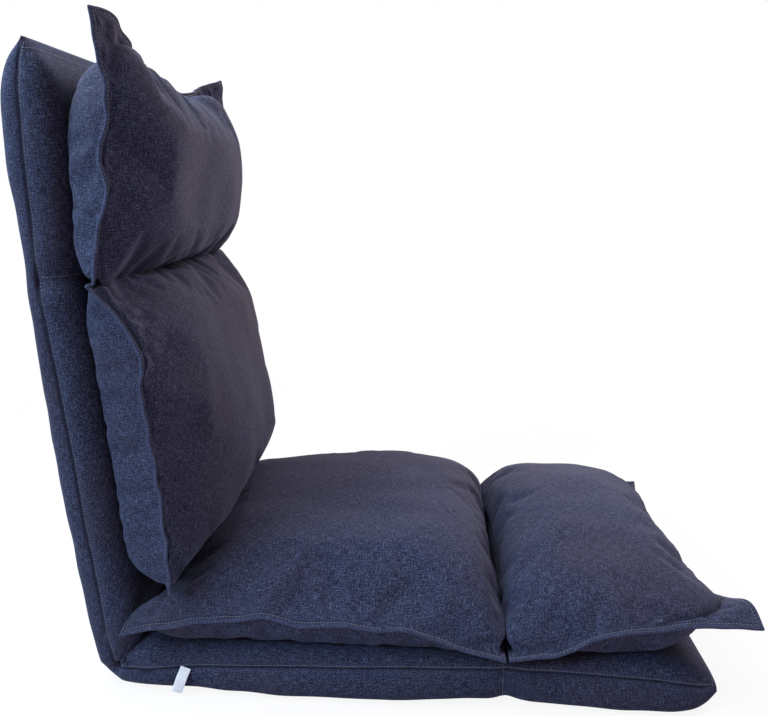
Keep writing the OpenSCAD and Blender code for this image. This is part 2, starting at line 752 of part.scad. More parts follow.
module head_cheeks() {
    color(zinc_colour) on_head() at_both() cheek_pair();
}
module head_pawl_right() {
    color(zinc_colour) on_head() at_right() pawl();
}
module head_pawl_left() {
    color(zinc_colour) on_head() at_left() pawl();
}
module head_hinge_rivets() {
    color(zinc_colour) on_head() at_both() hinge_rivets();
}
module head_pawl_springs() {
    color(zinc_colour) on_head() at_both() pawl_spring();
}
module foot_gear_right() {
    color(zinc_colour) on_foot() at_left() gear_plate(end_steps);
}
module foot_gear_left() {
    color(zinc_colour) on_foot() at_right() gear_plate(end_steps);
}
module foot_cheeks() {
    color(zinc_colour) on_foot() at_both() cheek_pair();
}
module foot_pawl_right() {
    color(zinc_colour) on_foot() at_left() pawl();
}
module foot_pawl_left() {
    color(zinc_colour) on_foot() at_right() pawl();
}
module foot_hinge_rivets() {
    color(zinc_colour) on_foot() at_both() hinge_rivets();
}
module foot_pawl_springs() {
    color(zinc_colour) on_foot() at_both() pawl_spring();
}

seat_frame();
seat_webbing();
seat_foam_top();
seat_foam_base();
seat_cover_top();
seat_cover_base();
seat_pillow_top();
seat_pillow_under();
seat_pillow_filling();
side_tag();
back_frame();
back_webbing();
back_foam_front();
back_foam_rear();
back_cover_front();
back_cover_rear();
lumbar_pillow_front();
lumbar_pillow_rear();
lumbar_pillow_filling();
head_frame();
head_foam_front();
head_foam_rear();
head_cover_front();
head_cover_rear();
head_pillow_front();
head_pillow_rear();
head_pillow_filling();
foot_frame();
foot_foam_top();
foot_foam_base();
foot_cover_top();
foot_cover_base();
foot_pillow_top();
foot_pillow_under();
foot_pillow_filling();
back_fold_sleeve();
head_fold_sleeve();
foot_fold_sleeve();
back_gear_right();
back_gear_left();
back_cheeks_right();
back_cheeks_left();
back_pawl_right();
back_pawl_left();
back_hinge_rivets();
back_pawl_springs();
head_gear_right();
head_gear_left();
head_cheeks();
head_pawl_right();
head_pawl_left();
head_hinge_rivets();
head_pawl_springs();
foot_gear_right();
foot_gear_left();
foot_cheeks();
foot_pawl_right();
foot_pawl_left();
foot_hinge_rivets();
foot_pawl_springs();
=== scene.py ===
import math
import bpy
import numpy as np
from mathutils import Matrix, Vector, noise


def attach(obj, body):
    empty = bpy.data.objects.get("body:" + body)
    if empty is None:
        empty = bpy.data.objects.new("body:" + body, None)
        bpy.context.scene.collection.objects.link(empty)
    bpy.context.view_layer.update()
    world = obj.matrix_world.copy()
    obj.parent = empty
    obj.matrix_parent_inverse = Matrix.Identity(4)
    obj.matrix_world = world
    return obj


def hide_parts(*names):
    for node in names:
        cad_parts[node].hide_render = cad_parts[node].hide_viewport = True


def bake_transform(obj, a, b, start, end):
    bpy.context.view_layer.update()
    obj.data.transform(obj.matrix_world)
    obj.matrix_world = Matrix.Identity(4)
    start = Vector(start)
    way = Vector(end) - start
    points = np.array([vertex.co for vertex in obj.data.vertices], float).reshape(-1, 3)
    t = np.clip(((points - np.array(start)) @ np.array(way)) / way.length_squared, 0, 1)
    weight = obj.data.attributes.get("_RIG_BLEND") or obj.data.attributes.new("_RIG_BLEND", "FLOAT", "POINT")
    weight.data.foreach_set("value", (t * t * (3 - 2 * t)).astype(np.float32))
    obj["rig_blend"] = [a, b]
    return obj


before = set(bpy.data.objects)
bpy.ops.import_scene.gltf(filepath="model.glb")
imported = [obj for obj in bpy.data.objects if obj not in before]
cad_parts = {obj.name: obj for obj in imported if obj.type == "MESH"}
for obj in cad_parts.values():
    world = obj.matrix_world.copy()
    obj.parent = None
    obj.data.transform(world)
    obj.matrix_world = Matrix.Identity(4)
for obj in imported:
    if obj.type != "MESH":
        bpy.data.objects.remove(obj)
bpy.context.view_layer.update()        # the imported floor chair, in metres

print("stage: frame loaded,", len(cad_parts), "CAD nodes")


def newMaterial(name):
    material = bpy.data.materials.new(name)
    material.use_nodes = True
    tree = material.node_tree
    tree.nodes.clear()
    out = tree.nodes.new("ShaderNodeOutputMaterial")
    shader = tree.nodes.new("ShaderNodeBsdfPrincipled")
    tree.links.new(shader.outputs[0], out.inputs["Surface"])
    return material, tree, shader


def stretchedNoise(tree, coordinates, scale, detail=2.0, roughness=0.55):
    mapping = tree.nodes.new("ShaderNodeMapping")
    mapping.inputs["Scale"].default_value = scale
    grain = tree.nodes.new("ShaderNodeTexNoise")
    grain.inputs["Scale"].default_value = 1.0
    grain.inputs["Detail"].default_value = detail
    grain.inputs["Roughness"].default_value = roughness
    tree.links.new(coordinates, mapping.inputs["Vector"])
    tree.links.new(mapping.outputs[0], grain.inputs["Vector"])
    return grain.outputs["Fac"]


def ramp(tree, value, stops):
    node = tree.nodes.new("ShaderNodeValToRGB")
    node.color_ramp.elements[0].position, node.color_ramp.elements[0].color = stops[0]
    node.color_ramp.elements[1].position, node.color_ramp.elements[1].color = stops[-1]
    for place, colour in stops[1:-1]:
        node.color_ramp.elements.new(place).color = colour
    tree.links.new(value, node.inputs["Fac"])
    return node.outputs["Color"]


def rangeOf(tree, value, start, end):
    # a value spread from one range to another, and held at its ends
    node = tree.nodes.new("ShaderNodeMapRange")
    node.inputs["From Min"].default_value, node.inputs["From Max"].default_value = start
    node.inputs["To Min"].default_value, node.inputs["To Max"].default_value = end
    tree.links.new(value, node.inputs["Value"])
    return node.outputs[0]


def addBump(tree, shader, height, strength, distance):
    bump = tree.nodes.new("ShaderNodeBump")
    bump.inputs["Strength"].default_value = strength
    bump.inputs["Distance"].default_value = distance
    tree.links.new(height, bump.inputs["Height"])
    tree.links.new(bump.outputs[0], shader.inputs["Normal"])


def mixColours(tree, share, a, b, kind="MIX"):
    node = tree.nodes.new("ShaderNodeMix")
    node.data_type = "RGBA"
    node.blend_type = kind
    node.clamp_result = True
    for socket, value in ((node.inputs[0], share), (node.inputs[6], a), (node.inputs[7], b)):
        if isinstance(value, (int, float, tuple)):
            socket.default_value = value
        else:
            tree.links.new(value, socket)
    return node.outputs[2]


def blendValues(tree, a, b, shareOfA):
    partOfA = combine(tree, "MULTIPLY", a, shareOfA)
    return combine(tree, "ADD", partOfA, combine(tree, "MULTIPLY", b, round(1 - shareOfA, 6)))


def combine(tree, kind, a, b, clamp=False):
    node = tree.nodes.new("ShaderNodeMath")
    node.operation = kind
    node.use_clamp = clamp
    for socket, value in ((node.inputs[0], a), (node.inputs[1], b)):
        if isinstance(value, (int, float)):
            socket.default_value = value
        else:
            tree.links.new(value, socket)
    return node.outputs[0]


def markOf(tree, name):
    # a value that the script has written on each corner of the cloth
    node = tree.nodes.new("ShaderNodeAttribute")
    node.attribute_name = name
    return node.outputs["Fac"]


def mixShaders(tree, share, a, b):
    node = tree.nodes.new("ShaderNodeMixShader")
    for socket, value in zip(node.inputs, (share, a, b)):
        tree.links.new(value, socket)
    return node.outputs[0]


studio = {
    "cameraPlace": (-1.09, -0.145, 0.655),
    "cameraYaw": 3.3,          # degrees towards +Y, away from straight across
    "cameraPitch": 13.0,       # degrees down
    "focalPixels": 735.0,
    "imageWidth": 768,
    "sensorWidth": 36,
    "floorSize": 14,
    "floorColour": (0.64, 0.57, 0.59, 1),
    "floorGlow": 0.90,         # share of plain white that only the camera sees
    "floorFade": (0.75, 1.7),  # metres from the chair over which the floor turns all white
    "worldColour": (1.0, 0.53, 0.52, 1),
    "worldStrength": 0.27,
}


def buildStudio(s):
    scene = bpy.context.scene
    scene.view_settings.view_transform = "Standard"
    yaw, pitch = math.radians(s["cameraYaw"]), math.radians(s["cameraPitch"])
    forward = Vector((math.cos(yaw) * math.cos(pitch), math.sin(yaw) * math.cos(pitch), -math.sin(pitch)))
    right = Vector((math.sin(yaw), -math.cos(yaw), 0))
    up = right.cross(forward)
    bpy.ops.object.camera_add(location=s["cameraPlace"])
    camera = bpy.context.object
    camera.name = "photoCamera"
    camera.data.sensor_width = s["sensorWidth"]
    camera.data.lens = s["focalPixels"] * s["sensorWidth"] / s["imageWidth"]
    turn = Matrix((right, up, -forward)).transposed()
    camera.matrix_world = Matrix.Translation(s["cameraPlace"]) @ turn.to_4x4()
    scene.camera = camera

    world = bpy.data.worlds.new("studioWorld")
    scene.world = world
    world.use_nodes = True
    tree = world.node_tree
    tree.nodes.clear()
    lit = tree.nodes.new("ShaderNodeBackground")
    lit.inputs["Color"].default_value = s["worldColour"]
    lit.inputs["Strength"].default_value = s["worldStrength"]
    seen = tree.nodes.new("ShaderNodeBackground")
    seen.inputs["Color"].default_value = (1, 1, 1, 1)
    path = tree.nodes.new("ShaderNodeLightPath")
    white = combine(tree, "MAXIMUM", path.outputs["Is Camera Ray"], path.outputs["Is Glossy Ray"])
    white = combine(tree, "MAXIMUM", white, path.outputs["Is Transmission Ray"])
    sky = mixShaders(tree, white, lit.outputs[0], seen.outputs[0])
    tree.links.new(sky, tree.nodes.new("ShaderNodeOutputWorld").inputs["Surface"])

    bpy.ops.mesh.primitive_plane_add(size=s["floorSize"], location=(0, 0, 0))
    floor = bpy.context.object
    floor.name = "studioFloor"
    paint = bpy.data.materials.new("floorPaper")
    paint.use_nodes = True
    tree = paint.node_tree
    tree.nodes.clear()
    paper = tree.nodes.new("ShaderNodeBsdfDiffuse")
    paper.inputs["Color"].default_value = s["floorColour"]
    glow = tree.nodes.new("ShaderNodeEmission")
    path = tree.nodes.new("ShaderNodeLightPath")
    place = tree.nodes.new("ShaderNodeTexCoord")
    away = tree.nodes.new("ShaderNodeVectorMath")
    away.operation = "LENGTH"
    tree.links.new(place.outputs["Object"], away.inputs[0])
    fade = rangeOf(tree, away.outputs["Value"], s["floorFade"], (s["floorGlow"], 1))
    share = combine(tree, "MULTIPLY", path.outputs["Is Camera Ray"], fade)
    surface = mixShaders(tree, share, paper.outputs[0], glow.outputs[0])
    tree.links.new(surface, tree.nodes.new("ShaderNodeOutputMaterial").inputs["Surface"])
    floor.data.materials.append(paint)


lamps = {
    # cool daylight from behind, above and in front, and a warm one from the far side
    "windowLamp": {"place": (-1.25, 1.6, 1.55), "aim": (0, 0.2, 0.5), "size": 1.2, "power": 74,
                   "colour": (0.46, 0.78, 1.0)},
    "topLamp": {"place": (-0.2, 0.80, 2.1), "aim": (0, -0.4, 0.1), "size": 1.4, "power": 74,
                "colour": (0.80, 0.93, 1.0)},
    "skyLamp": {"place": (0.2, -1.4, 1.9), "aim": (0, -0.6, 0.1), "size": 0.9, "power": 30,
                "colour": (0.94, 0.93, 1.0)},
    "farLamp": {"place": (2.4, -0.9, 1.1), "aim": (0, 0.1, 0.4), "size": 1.3, "power": 38,
                "colour": (1.0, 0.80, 0.78)},
}


def hangLamps(rows):
    for name, row in rows.items():
        bpy.ops.object.light_add(type="AREA", location=row["place"])
        lamp = bpy.context.object
        lamp.name = name
        lamp.data.shape = "SQUARE"
        lamp.data.size = row["size"]
        lamp.data.energy = row["power"]
        lamp.data.color = row["colour"]
        aim = Vector(row["aim"]) - Vector(row["place"])
        lamp.rotation_euler = aim.to_track_quat("-Z", "Y").to_euler()


buildStudio(studio)
hangLamps(lamps)
print("stage: studio and camera")


denim = {
    "deep": (0.0044, 0.0038, 0.0092, 1),    # warp yarn in its darkest dye, also the colour of the painted shade in the stitched grooves
    "indigo": (0.0150, 0.0158, 0.0345, 1),
    "worn": (0.056, 0.064, 0.118, 1),       # yarn where the dye has rubbed off
    "weft": (0.17, 0.18, 0.23, 1),          # pale cross yarn that shows as flecks
    "brown": (0.028, 0.016, 0.021, 1),      # warm cast of some yarns
    "slubScale": 860.0,                     # yarns per metre that stand out
    "slubStretch": 0.11,
    "dyeStops": (0.42, 0.50, 0.59),         # where the dark, plain and worn yarns lie in the grain
    "fineScale": 690.0,                     # specks per metre
    "patchScale": 9.0,                      # broad shade of the dye, per metre
    "patchShade": (0.84, 0.84, 0.86, 1),
    "castScale": 4.5,
    "fleckMost": 0.55,                      # how strong flecks, brown cast, rubbing and the painted shade in grooves get
    "brownMost": 0.35,
    "rubMost": 0.75,
    "grooveShadeMost": 0.85,
    "twillPitch": 0.0011,                   # metres between twill lines
    "twillTurn": 63,
    "twillShare": 0.35,
    "bump": 0.22,
    "bumpDepth": 0.0011,
    "rough": (0.80, 0.97),
    "specular": 0.14,
    "sheen": 0.05,
    "sheenRough": 0.45,
    "sheenTint": (0.55, 0.66, 0.95, 1),
}
waveCycles = 0.314        # a Wave texture of this scale has one band per metre


def denimMaterial(name, s):
    # warp runs along V and weft along U of the piece's own map, which is in metres
    material, tree, shader = newMaterial(name)
    link = tree.links.new
    place = tree.nodes.new("ShaderNodeUVMap")
    place.uv_map = "clothMap"
    cloth = place.outputs["UV"]
    slub, stretch = s["slubScale"], s["slubStretch"]
    warp = stretchedNoise(tree, cloth, (slub, slub * stretch, 1), 3.0, 0.6)
    weft = stretchedNoise(tree, cloth, (slub * stretch, slub, 1), 3.0, 0.6)
    fine = stretchedNoise(tree, cloth, (s["fineScale"], s["fineScale"], 1), 1.0, 0.5)
    patch = stretchedNoise(tree, cloth, (s["patchScale"], s["patchScale"], 1), 3.0, 0.55)
    cast = stretchedNoise(tree, cloth, (s["castScale"], s["castScale"], 1), 2.0, 0.5)

    yarns = blendValues(tree, blendValues(tree, warp, weft, 0.6), fine, 0.6)
    dyed = ramp(tree, yarns, list(zip(s["dyeStops"], (s["deep"], s["indigo"], s["worn"]))))
    flecked = mixColours(tree, rangeOf(tree, weft, (0.60, 0.80), (0, s["fleckMost"])), dyed, s["weft"])
    warm = mixColours(tree, rangeOf(tree, cast, (0.45, 0.70), (0, s["brownMost"])), flecked, s["brown"])
    shade = ramp(tree, patch, [(0.3, s["patchShade"]), (0.7, (1.0, 1.0, 1.0, 1))])
    toned = mixColours(tree, 1.0, warm, shade, "MULTIPLY")

    # worn pale along the edges, in specks, and painted shade in the stitched groove
    specks = combine(tree, "MULTIPLY", markOf(tree, "rubbed"), rangeOf(tree, fine, (0.42, 0.62), (0, 1)))
    rubShare = combine(tree, "MULTIPLY", specks, s["rubMost"], True)
    grooveShadeShare = combine(tree, "MULTIPLY", markOf(tree, "paintedGrooveShade"), s["grooveShadeMost"], True)
    final = mixColours(tree, rubShare, toned, s["worn"])
    # painted shade: the groove's mark darkens the cloth towards the darkest dye
    final = mixColours(tree, grooveShadeShare, final, s["deep"])
    link(final, shader.inputs["Base Color"])

    # fine diagonal ribs of the twill, over the yarns
    turned = tree.nodes.new("ShaderNodeMapping")
    turned.inputs["Rotation"].default_value = (0, 0, math.radians(s["twillTurn"]))
    ribs = tree.nodes.new("ShaderNodeTexWave")
    ribs.inputs["Scale"].default_value = waveCycles / s["twillPitch"]
    ribs.inputs["Distortion"].default_value = 1.2
    ribs.inputs["Detail"].default_value = 1.0
    link(cloth, turned.inputs["Vector"])
    link(turned.outputs[0], ribs.inputs["Vector"])
    relief = combine(tree, "ADD", combine(tree, "MULTIPLY", ribs.outputs["Fac"], s["twillShare"]), yarns)
    addBump(tree, shader, relief, s["bump"], s["bumpDepth"])
    link(rangeOf(tree, fine, (0, 1), s["rough"]), shader.inputs["Roughness"])
    shader.inputs["Specular IOR Level"].default_value = s["specular"]
    shader.inputs["Sheen Weight"].default_value = s["sheen"]
    shader.inputs["Sheen Roughness"].default_value = s["sheenRough"]
    shader.inputs["Sheen Tint"].default_value = s["sheenTint"]
    return material


denimCloth = denimMaterial("indigoDenim", denim)


def threadMaterial(name, colour, dark):
    material, tree, shader = newMaterial(name)
    place = tree.nodes.new("ShaderNodeTexCoord")
    grain = stretchedNoise(tree, place.outputs["Object"], (900, 900, 900), 2.0)
    tree.links.new(ramp(tree, grain, [(0.3, dark), (0.7, colour)]), shader.inputs["Base Color"])
    shader.inputs["Roughness"].default_value = 0.62
    shader.inputs["Sheen Weight"].default_value = 0.2
    return material


topThread = threadMaterial("topstitchThread", (0.085, 0.092, 0.135, 1), (0.040, 0.043, 0.068, 1))
print("stage: fabrics")


# the four sections, each a flat frame that starts at its hinge and looks along its pad
chair = {
    "hingeHeight": 0.040, "faceHeight": 0.026,
    "seatLength": 0.510, "backLength": 0.510, "headLength": 0.272, "footLength": 0.270,
    "restAngle": 85.0, "headTip": 5.0,
}


def sectionFrame(y, z, angle, flip=1):
    a = math.radians(angle)
    return {
        "start": np.array([0, y, z]),
        "along": np.array([0, math.cos(a) * flip, math.sin(a)]),
        "out": np.array([0, -math.sin(a), math.cos(a)]),
    }


half = chair["seatLength"] / 2
lean = math.radians(chair["restAngle"])
sections = {
    "seat": sectionFrame(-half, chair["hingeHeight"], 0),
    "foot": sectionFrame(-half, chair["hingeHeight"], 0, -1),
    "back": sectionFrame(half, chair["hingeHeight"], chair["restAngle"]),
    "head": sectionFrame(
        half + chair["backLength"] * math.cos(lean),
        chair["hingeHeight"] + chair["backLength"] * math.sin(lean),
        chair["restAngle"] + chair["headTip"],
    ),
}
backHinge = sections["back"]["start"]
headHinge = sections["head"]["start"]
footHinge = sections["foot"]["start"]


def placeOn(section, points):
    # points are across, along and out of a section, from its hinge
    s = sections[section]
    across = points[:, :1] * np.array([[1.0, 0, 0]])
    return s["start"] + across + points[:, 1:2] * s["along"] + points[:, 2:3] * s["out"]


def takeOnly(*objects):
    bpy.ops.object.select_all(action="DESELECT")
    for o in objects:
        o.select_set(True)
    bpy.context.view_layer.objects.active = objects[0]


def coordinates(o):
    flat = np.empty(len(o.data.vertices) * 3, np.float32)
    o.data.vertices.foreach_get("co", flat)
    return flat.reshape(-1, 3).astype(float)


def setCoordinates(o, points):
    o.data.vertices.foreach_set("co", np.asarray(points, np.float32).ravel())
    o.data.update()


def gridPiece(name, columns, rows):
    # a flat grid one unit wide; each corner's column and row come back with it
    bpy.ops.object.select_all(action="DESELECT")
    bpy.ops.mesh.primitive_grid_add(x_subdivisions=columns, y_subdivisions=rows, size=1)
    piece = bpy.context.object
    piece.name = name
    piece.data.name = name
    points = coordinates(piece)
    column = np.rint((points[:, 0] + 0.5) * columns).astype(int)
    row = np.rint((points[:, 1] + 0.5) * rows).astype(int)
    return piece, column, row


def writeMap(piece, u, v):
    # the fabric's own map, in metres
    layer = piece.data.uv_layers[0]
    layer.name = "clothMap"
    corners = np.empty(len(piece.data.loops), np.int32)
    piece.data.loops.foreach_get("vertex_index", corners)
    layer.data.foreach_set("uv", np.c_[u[corners], v[corners]].astype(np.float32).ravel())


rimWide = 0.003           # how far the fabric's map goes on over the rim of a pillow
panelApart = 0.7          # metres between the two panels on the map


def pastEnds(line):
    return np.where(line == 0, -rimWide, np.where(line == line.max(), rimWide, 0))


def mapPanels(piece, points, column, row, top, shift):
    # each panel's map follows the cloth from the panel's middle
    # and the rim between them continues the upper one
    u, v = np.zeros(len(points)), np.zeros(len(points))
    nets = []
    for on in (top, ~top):
        net = np.zeros((row.max() + 1, column.max() + 1), int)
        net[row[on], column[on]] = np.nonzero(on)[0]
        across = np.linalg.norm(np.diff(points[net], axis=1), axis=2)
        along = np.linalg.norm(np.diff(points[net], axis=0), axis=2)
        overU, overV = np.zeros(net.shape), np.zeros(net.shape)
        overU[:, 1:] = np.cumsum(across, axis=1)
        overV[1:] = np.cumsum(along, axis=0)
        u[net] = overU - overU[:, net.shape[1] // 2][:, None] + shift + panelApart * len(nets)
        v[net] = overV - overV[net.shape[0] // 2][None, :] + shift
        nets.append(net)
    corners = np.empty(len(piece.data.loops), np.int32)
    piece.data.loops.foreach_get("vertex_index", corners)
    sizes = np.empty(len(piece.data.polygons), np.int32)
    piece.data.polygons.foreach_get("loop_total", sizes)
    face = np.repeat(np.arange(len(sizes)), sizes)
    onTop = top[corners]
    share = np.bincount(face, onTop) / np.bincount(face)
    rim = (share[face] > 0.01) & (share[face] < 0.99) & ~onTop
    partner = corners.copy()
    partner[rim] = nets[0][row[corners[rim]], column[corners[rim]]]
    outU = np.where(rim, pastEnds(column)[corners], 0)
    outV = np.where(rim, pastEnds(row)[corners], 0)
    layer = piece.data.uv_layers[0]
    layer.name = "clothMap"
    layer.data.foreach_set("uv", np.c_[u[partner] + outU, v[partner] + outV].astype(np.float32).ravel())


def writeMark(piece, name, values):
    mark = piece.data.attributes.new(name, "FLOAT", "POINT")
    mark.data.foreach_set("value", np.asarray(values, np.float32))


def applyModifiers(piece):
    takeOnly(piece)
    for m in list(piece.modifiers):
        bpy.ops.object.modifier_apply(modifier=m.name)


def subdivide(piece, levels=1):
    m = piece.modifiers.new("smoothCloth", "SUBSURF")
    m.levels = m.render_levels = levels
    m.boundary_smooth = "PRESERVE_CORNERS"
    applyModifiers(piece)


def shadeSmooth(piece, angle=50):
    takeOnly(piece)
    bpy.ops.object.shade_smooth_by_angle(angle=math.radians(angle))


def ripple(points, scale, seed):
    # smooth noise from about -1 to 1 at each point, one cycle over each length in scale
    out = np.empty(len(points))
    sx, sy, sz = (1.0 / k for k in scale)
    for i, p in enumerate(points):
        out[i] = noise.noise(Vector((p[0] * sx + seed, p[1] * sy + 3.7 * seed, p[2] * sz - seed)))
    return out * 1.6


def bell(away, reach):
    return np.exp(-(away / reach) ** 2)


def faceOutward(piece):
    takeOnly(piece)
    bpy.ops.object.mode_set(mode="EDIT")
    bpy.ops.mesh.select_all(action="SELECT")
    bpy.ops.mesh.normals_make_consistent(inside=False)
    bpy.ops.object.mode_set(mode="OBJECT")


def smoothStep(t):
    t = np.clip(t, 0, 1)
    return t * t * (3 - 2 * t)


def profile(pairs, t):
    # a soft line through (share, value) pairs
    xs = np.array([p[0] for p in pairs], float)
    ys = np.array([p[1] for p in pairs], float)
    t = np.clip(np.asarray(t, float), xs[0], xs[-1])
    slopes = np.gradient(ys, xs)
    k = np.clip(np.searchsorted(xs, t, side="right") - 1, 0, len(xs) - 2)
    h = xs[k + 1] - xs[k]
    a = (t - xs[k]) / h
    return (
        ys[k] * (1 + 2 * a) * (1 - a) ** 2 + slopes[k] * h * a * (1 - a) ** 2
        + ys[k + 1] * a * a * (3 - 2 * a) + slopes[k + 1] * h * a * a * (a - 1)
    )


# base cover: one quilted sleeve along foot, seat, back and head,
# cut into three pieces under the pillows
base = {
    "step": 0.010,            # distance between two rows along the chair
    "sideRound": 0.033,       # how far the rounded side reaches in
    "sideRows": 9,
    "faceRows": 38,
    "underFull": 0.34,        # side on the floor: how square it turns under
    "underBulge": 0.0120,     # and how far it swells out past the seam
    "heelRows": 12,
    "heelBlend": 0.010,       # height over which the heel changes from a turn to a straight line
    "footSpread": 0.92,       # rows closer together or wider apart towards the free ends
    "headSpread": 1.08,
    "backCutShare": 0.6,      # where on the back the sleeve is cut
    "liftFloor": 0.0006,
    # quilting, over rows of the grid beside a seam: (how deep, how wide, how far from it)
    "seamPull": (0.0022, 0.75),
    "seamPuff": (0.0028, 3.0, 4.5),
    "seamRub": (0.5, 0.8, 1),
    "seamShade": (0.95, 0.45),
    "pucker": (0.0016, 3.2),
    "puckerPitch": 0.016,
    "soft": (0.16, 0.16, 0.16), "softPush": 0.00165, "softPuff": 0.6,
    "tone": (0.055, 0.045, 0.045), "tonePush": 0.0013,
    # cross seams at the hinges, in metres along the chair
    "crossSeams": (("footHinge", 0.0045), ("headHinge", 0.0040)),
    "crossWide": 0.0075, "crossPuff": (0.45, 0.018, 0.028),
    # the side folds in where the seat meets the back
    "heelFold": 0.021, "heelWide": 0.30, "heelPuff": (0.25, 0.30, 0.85),
    "heelUnder": 0.6,
}
# heights along each section, from the hinge axis: face, rear or underside, and the side seam,
# then half the width, and how much the side turns under as on the floor
baseLines = {
    "foot": {
        "face": [(0, 0.0255), (0.55, 0.0262), (0.8, 0.022), (0.92, 0.011), (0.98, 0.001), (1, -0.0045)],
        "rear": [(0, -0.0394), (0.55, -0.0394), (0.85, -0.0390), (0.94, -0.0370), (0.985, -0.0310),
                 (1, -0.0220)],
        "seam": [(0, 0.0095), (0.5, 0.004), (0.85, -0.004), (1, -0.012)],
        "wide": [(0, 0.2495), (0.6, 0.2495), (0.9, 0.2480), (1, 0.2400)],
        "floorSide": [(0, 0.7), (0.3, 1.0), (0.8, 1.0), (1, 0.4)],
    },
    "seat": {
        "face": [(0, 0.0255), (0.5, 0.0262), (1, 0.0255)],
        "rear": [(0, -0.0394), (0.5, -0.0394), (1, -0.0392)],
        "seam": [(0, 0.0095), (0.5, 0.0015), (0.85, -0.006), (1, -0.012)],
        "wide": [(0, 0.2495), (0.5, 0.2500), (1, 0.2480)],
        "floorSide": [(0, 0.7), (0.2, 1.0), (0.7, 0.9), (0.9, 0.35), (1, 0.1)],
    },
    "back": {
        "face": [(0, 0.0255), (0.5, 0.0262), (1, 0.0250)],
        "rear": [(0, -0.0385), (0.2, -0.0430), (0.46, -0.0455), (0.7, -0.0440), (0.88, -0.0365),
                 (1, -0.0320)],
        "seam": [(0, -0.012), (0.3, -0.015), (0.7, -0.015), (1, -0.016)],
        "wide": [(0, 0.2480), (0.5, 0.2500), (1, 0.2490)],
        "floorSide": [(0, 0.1), (0.2, 0), (1, 0)],
    },
    "head": {
        "face": [(0, 0.0250), (0.5, 0.0262), (0.8, 0.0200), (0.93, 0.0070), (1, -0.0060)],
        "rear": [(0, -0.0320), (0.25, -0.0400), (0.6, -0.0480), (0.85, -0.0385), (0.95, -0.0230),
                 (1, -0.0085)],
        "seam": [(0, -0.016), (0.5, -0.017), (0.9, -0.012), (1, -0.0075)],
        "wide": [(0, 0.2490), (0.6, 0.2495), (0.9, 0.2470), (1, 0.2410)],
        "floorSide": [(0, 0), (1, 0)],
    },
}


def ringShape(face, rear, seam, wide, floorSide, s):
    # one ring of the sleeve as across and out pairs,
    # from the near seam over the face and back underneath
    n, m, r = s["sideRows"], s["faceRows"], s["sideRound"]
    turn = np.linspace(0, np.pi / 2, n + 1)
    over = [(-wide + r * (1 - math.cos(a)), seam + (face - seam) * math.sin(a)) for a in turn]
    over += [(x, face) for x in np.linspace(-wide + r, wide - r, m + 1)[1:-1]]
    over += [(-x, z) for x, z in reversed(over[: n + 1])]
    full, out = 1 - (1 - s["underFull"]) * floorSide, s["underBulge"] * floorSide
    under = [(-wide + r * (1 - math.cos(a) ** full) - out * math.sin(2 * a) ** 0.7,
              seam + (rear - seam) * math.sin(a) ** 0.85) for a in turn]
    under += [(x, rear) for x in np.linspace(-wide + r, wide - r, m + 1)[1:-1]]
    under += [(-x, z) for x, z in reversed(under[: n + 1])]
    return np.array(over + list(reversed(under))[1:])


def shapeAt(row, share, s):
    values = [float(profile(row[k], share)) for k in ("face", "rear", "seam", "wide", "floorSide")]
    return ringShape(*values, s)


def sleeveRings(s, lines, c):
    # every ring from the foot's front edge to the top of the head, with its distance along the chair
    rings, travel, marks = [], [], {}
    total = 0.0

    def ring(name, share, cutA, cutB, length):
        shape = shapeAt(lines[name], share, s)
        high = np.maximum(shape[:, 1], 0)
        begin, end = high * cutA, length - high * cutB
        return placeOn(name, np.c_[shape[:, 0], begin + (end - begin) * share, shape[:, 1]])

    backCut = math.tan(math.radians(90 - (180 - c["restAngle"]) / 2))
    headCut = math.tan(math.radians(c["headTip"] / 2))
    for share in np.linspace(1, 0, round(c["footLength"] / s["step"]) + 1) ** s["footSpread"]:
        rings.append(ring("foot", share, 0, 0, c["footLength"]))
        travel.append(total + (1 - share) * c["footLength"])
    total += c["footLength"]
    marks["footHinge"] = len(rings) - 1
    count = round(c["seatLength"] / s["step"])
    for k in range(1, count + 1):
        rings.append(ring("seat", k / count, 0, backCut, c["seatLength"]))
        travel.append(total + k / count * c["seatLength"])
    marks["seatMiddle"] = marks["footHinge"] + count // 2
    total += c["seatLength"]
    seatEnd = rings[-1]
    backStart = ring("back", 0, backCut, headCut, c["backLength"])
    outline = shapeAt(lines["seat"], 1, s)
    arc = c["hingeHeight"] * math.radians(c["restAngle"])
    for k in range(1, s["heelRows"]):
        t = k / s["heelRows"]
        a = math.radians(c["restAngle"]) * t
        swung = backHinge + np.c_[outline[:, 0], -math.sin(a) * outline[:, 1], math.cos(a) * outline[:, 1]]
        straight = seatEnd * (1 - t) + backStart * t
        inner = smoothStep(outline[:, 1:] / s["heelBlend"] + 0.5)
        rings.append(swung * (1 - inner) + straight * inner)
        travel.append(total + arc * t)
    marks["backHinge"] = len(rings) - s["heelRows"] // 2
    total += arc
    rings.append(backStart)
    travel.append(total)
    count = round(c["backLength"] / s["step"])
    marks["backMiddle"] = len(rings) - 1 + round(count * s["backCutShare"])
    for k in range(1, count + 1):
        rings.append(ring("back", k / count, backCut, headCut, c["backLength"]))
        travel.append(total + k / count * c["backLength"])
    marks["headHinge"] = len(rings) - 1
    total += c["backLength"]
    shares = 1 - np.linspace(1, 0, round(c["headLength"] / s["step"]) + 1)[1:] ** s["headSpread"]
    for share in shares:
        rings.append(ring("head", share, headCut, 0, c["headLength"]))
        travel.append(total + share * c["headLength"])
    return np.array(rings), np.array(travel), marks


def ringNormals(rings):
    alongChair = np.gradient(rings, axis=0)
    around = np.roll(rings, -1, axis=1) - np.roll(rings, 1, axis=1)
    out = np.cross(around, alongChair)
    size = np.linalg.norm(out, axis=2, keepdims=True)
    return out / np.maximum(size, 1e-9)


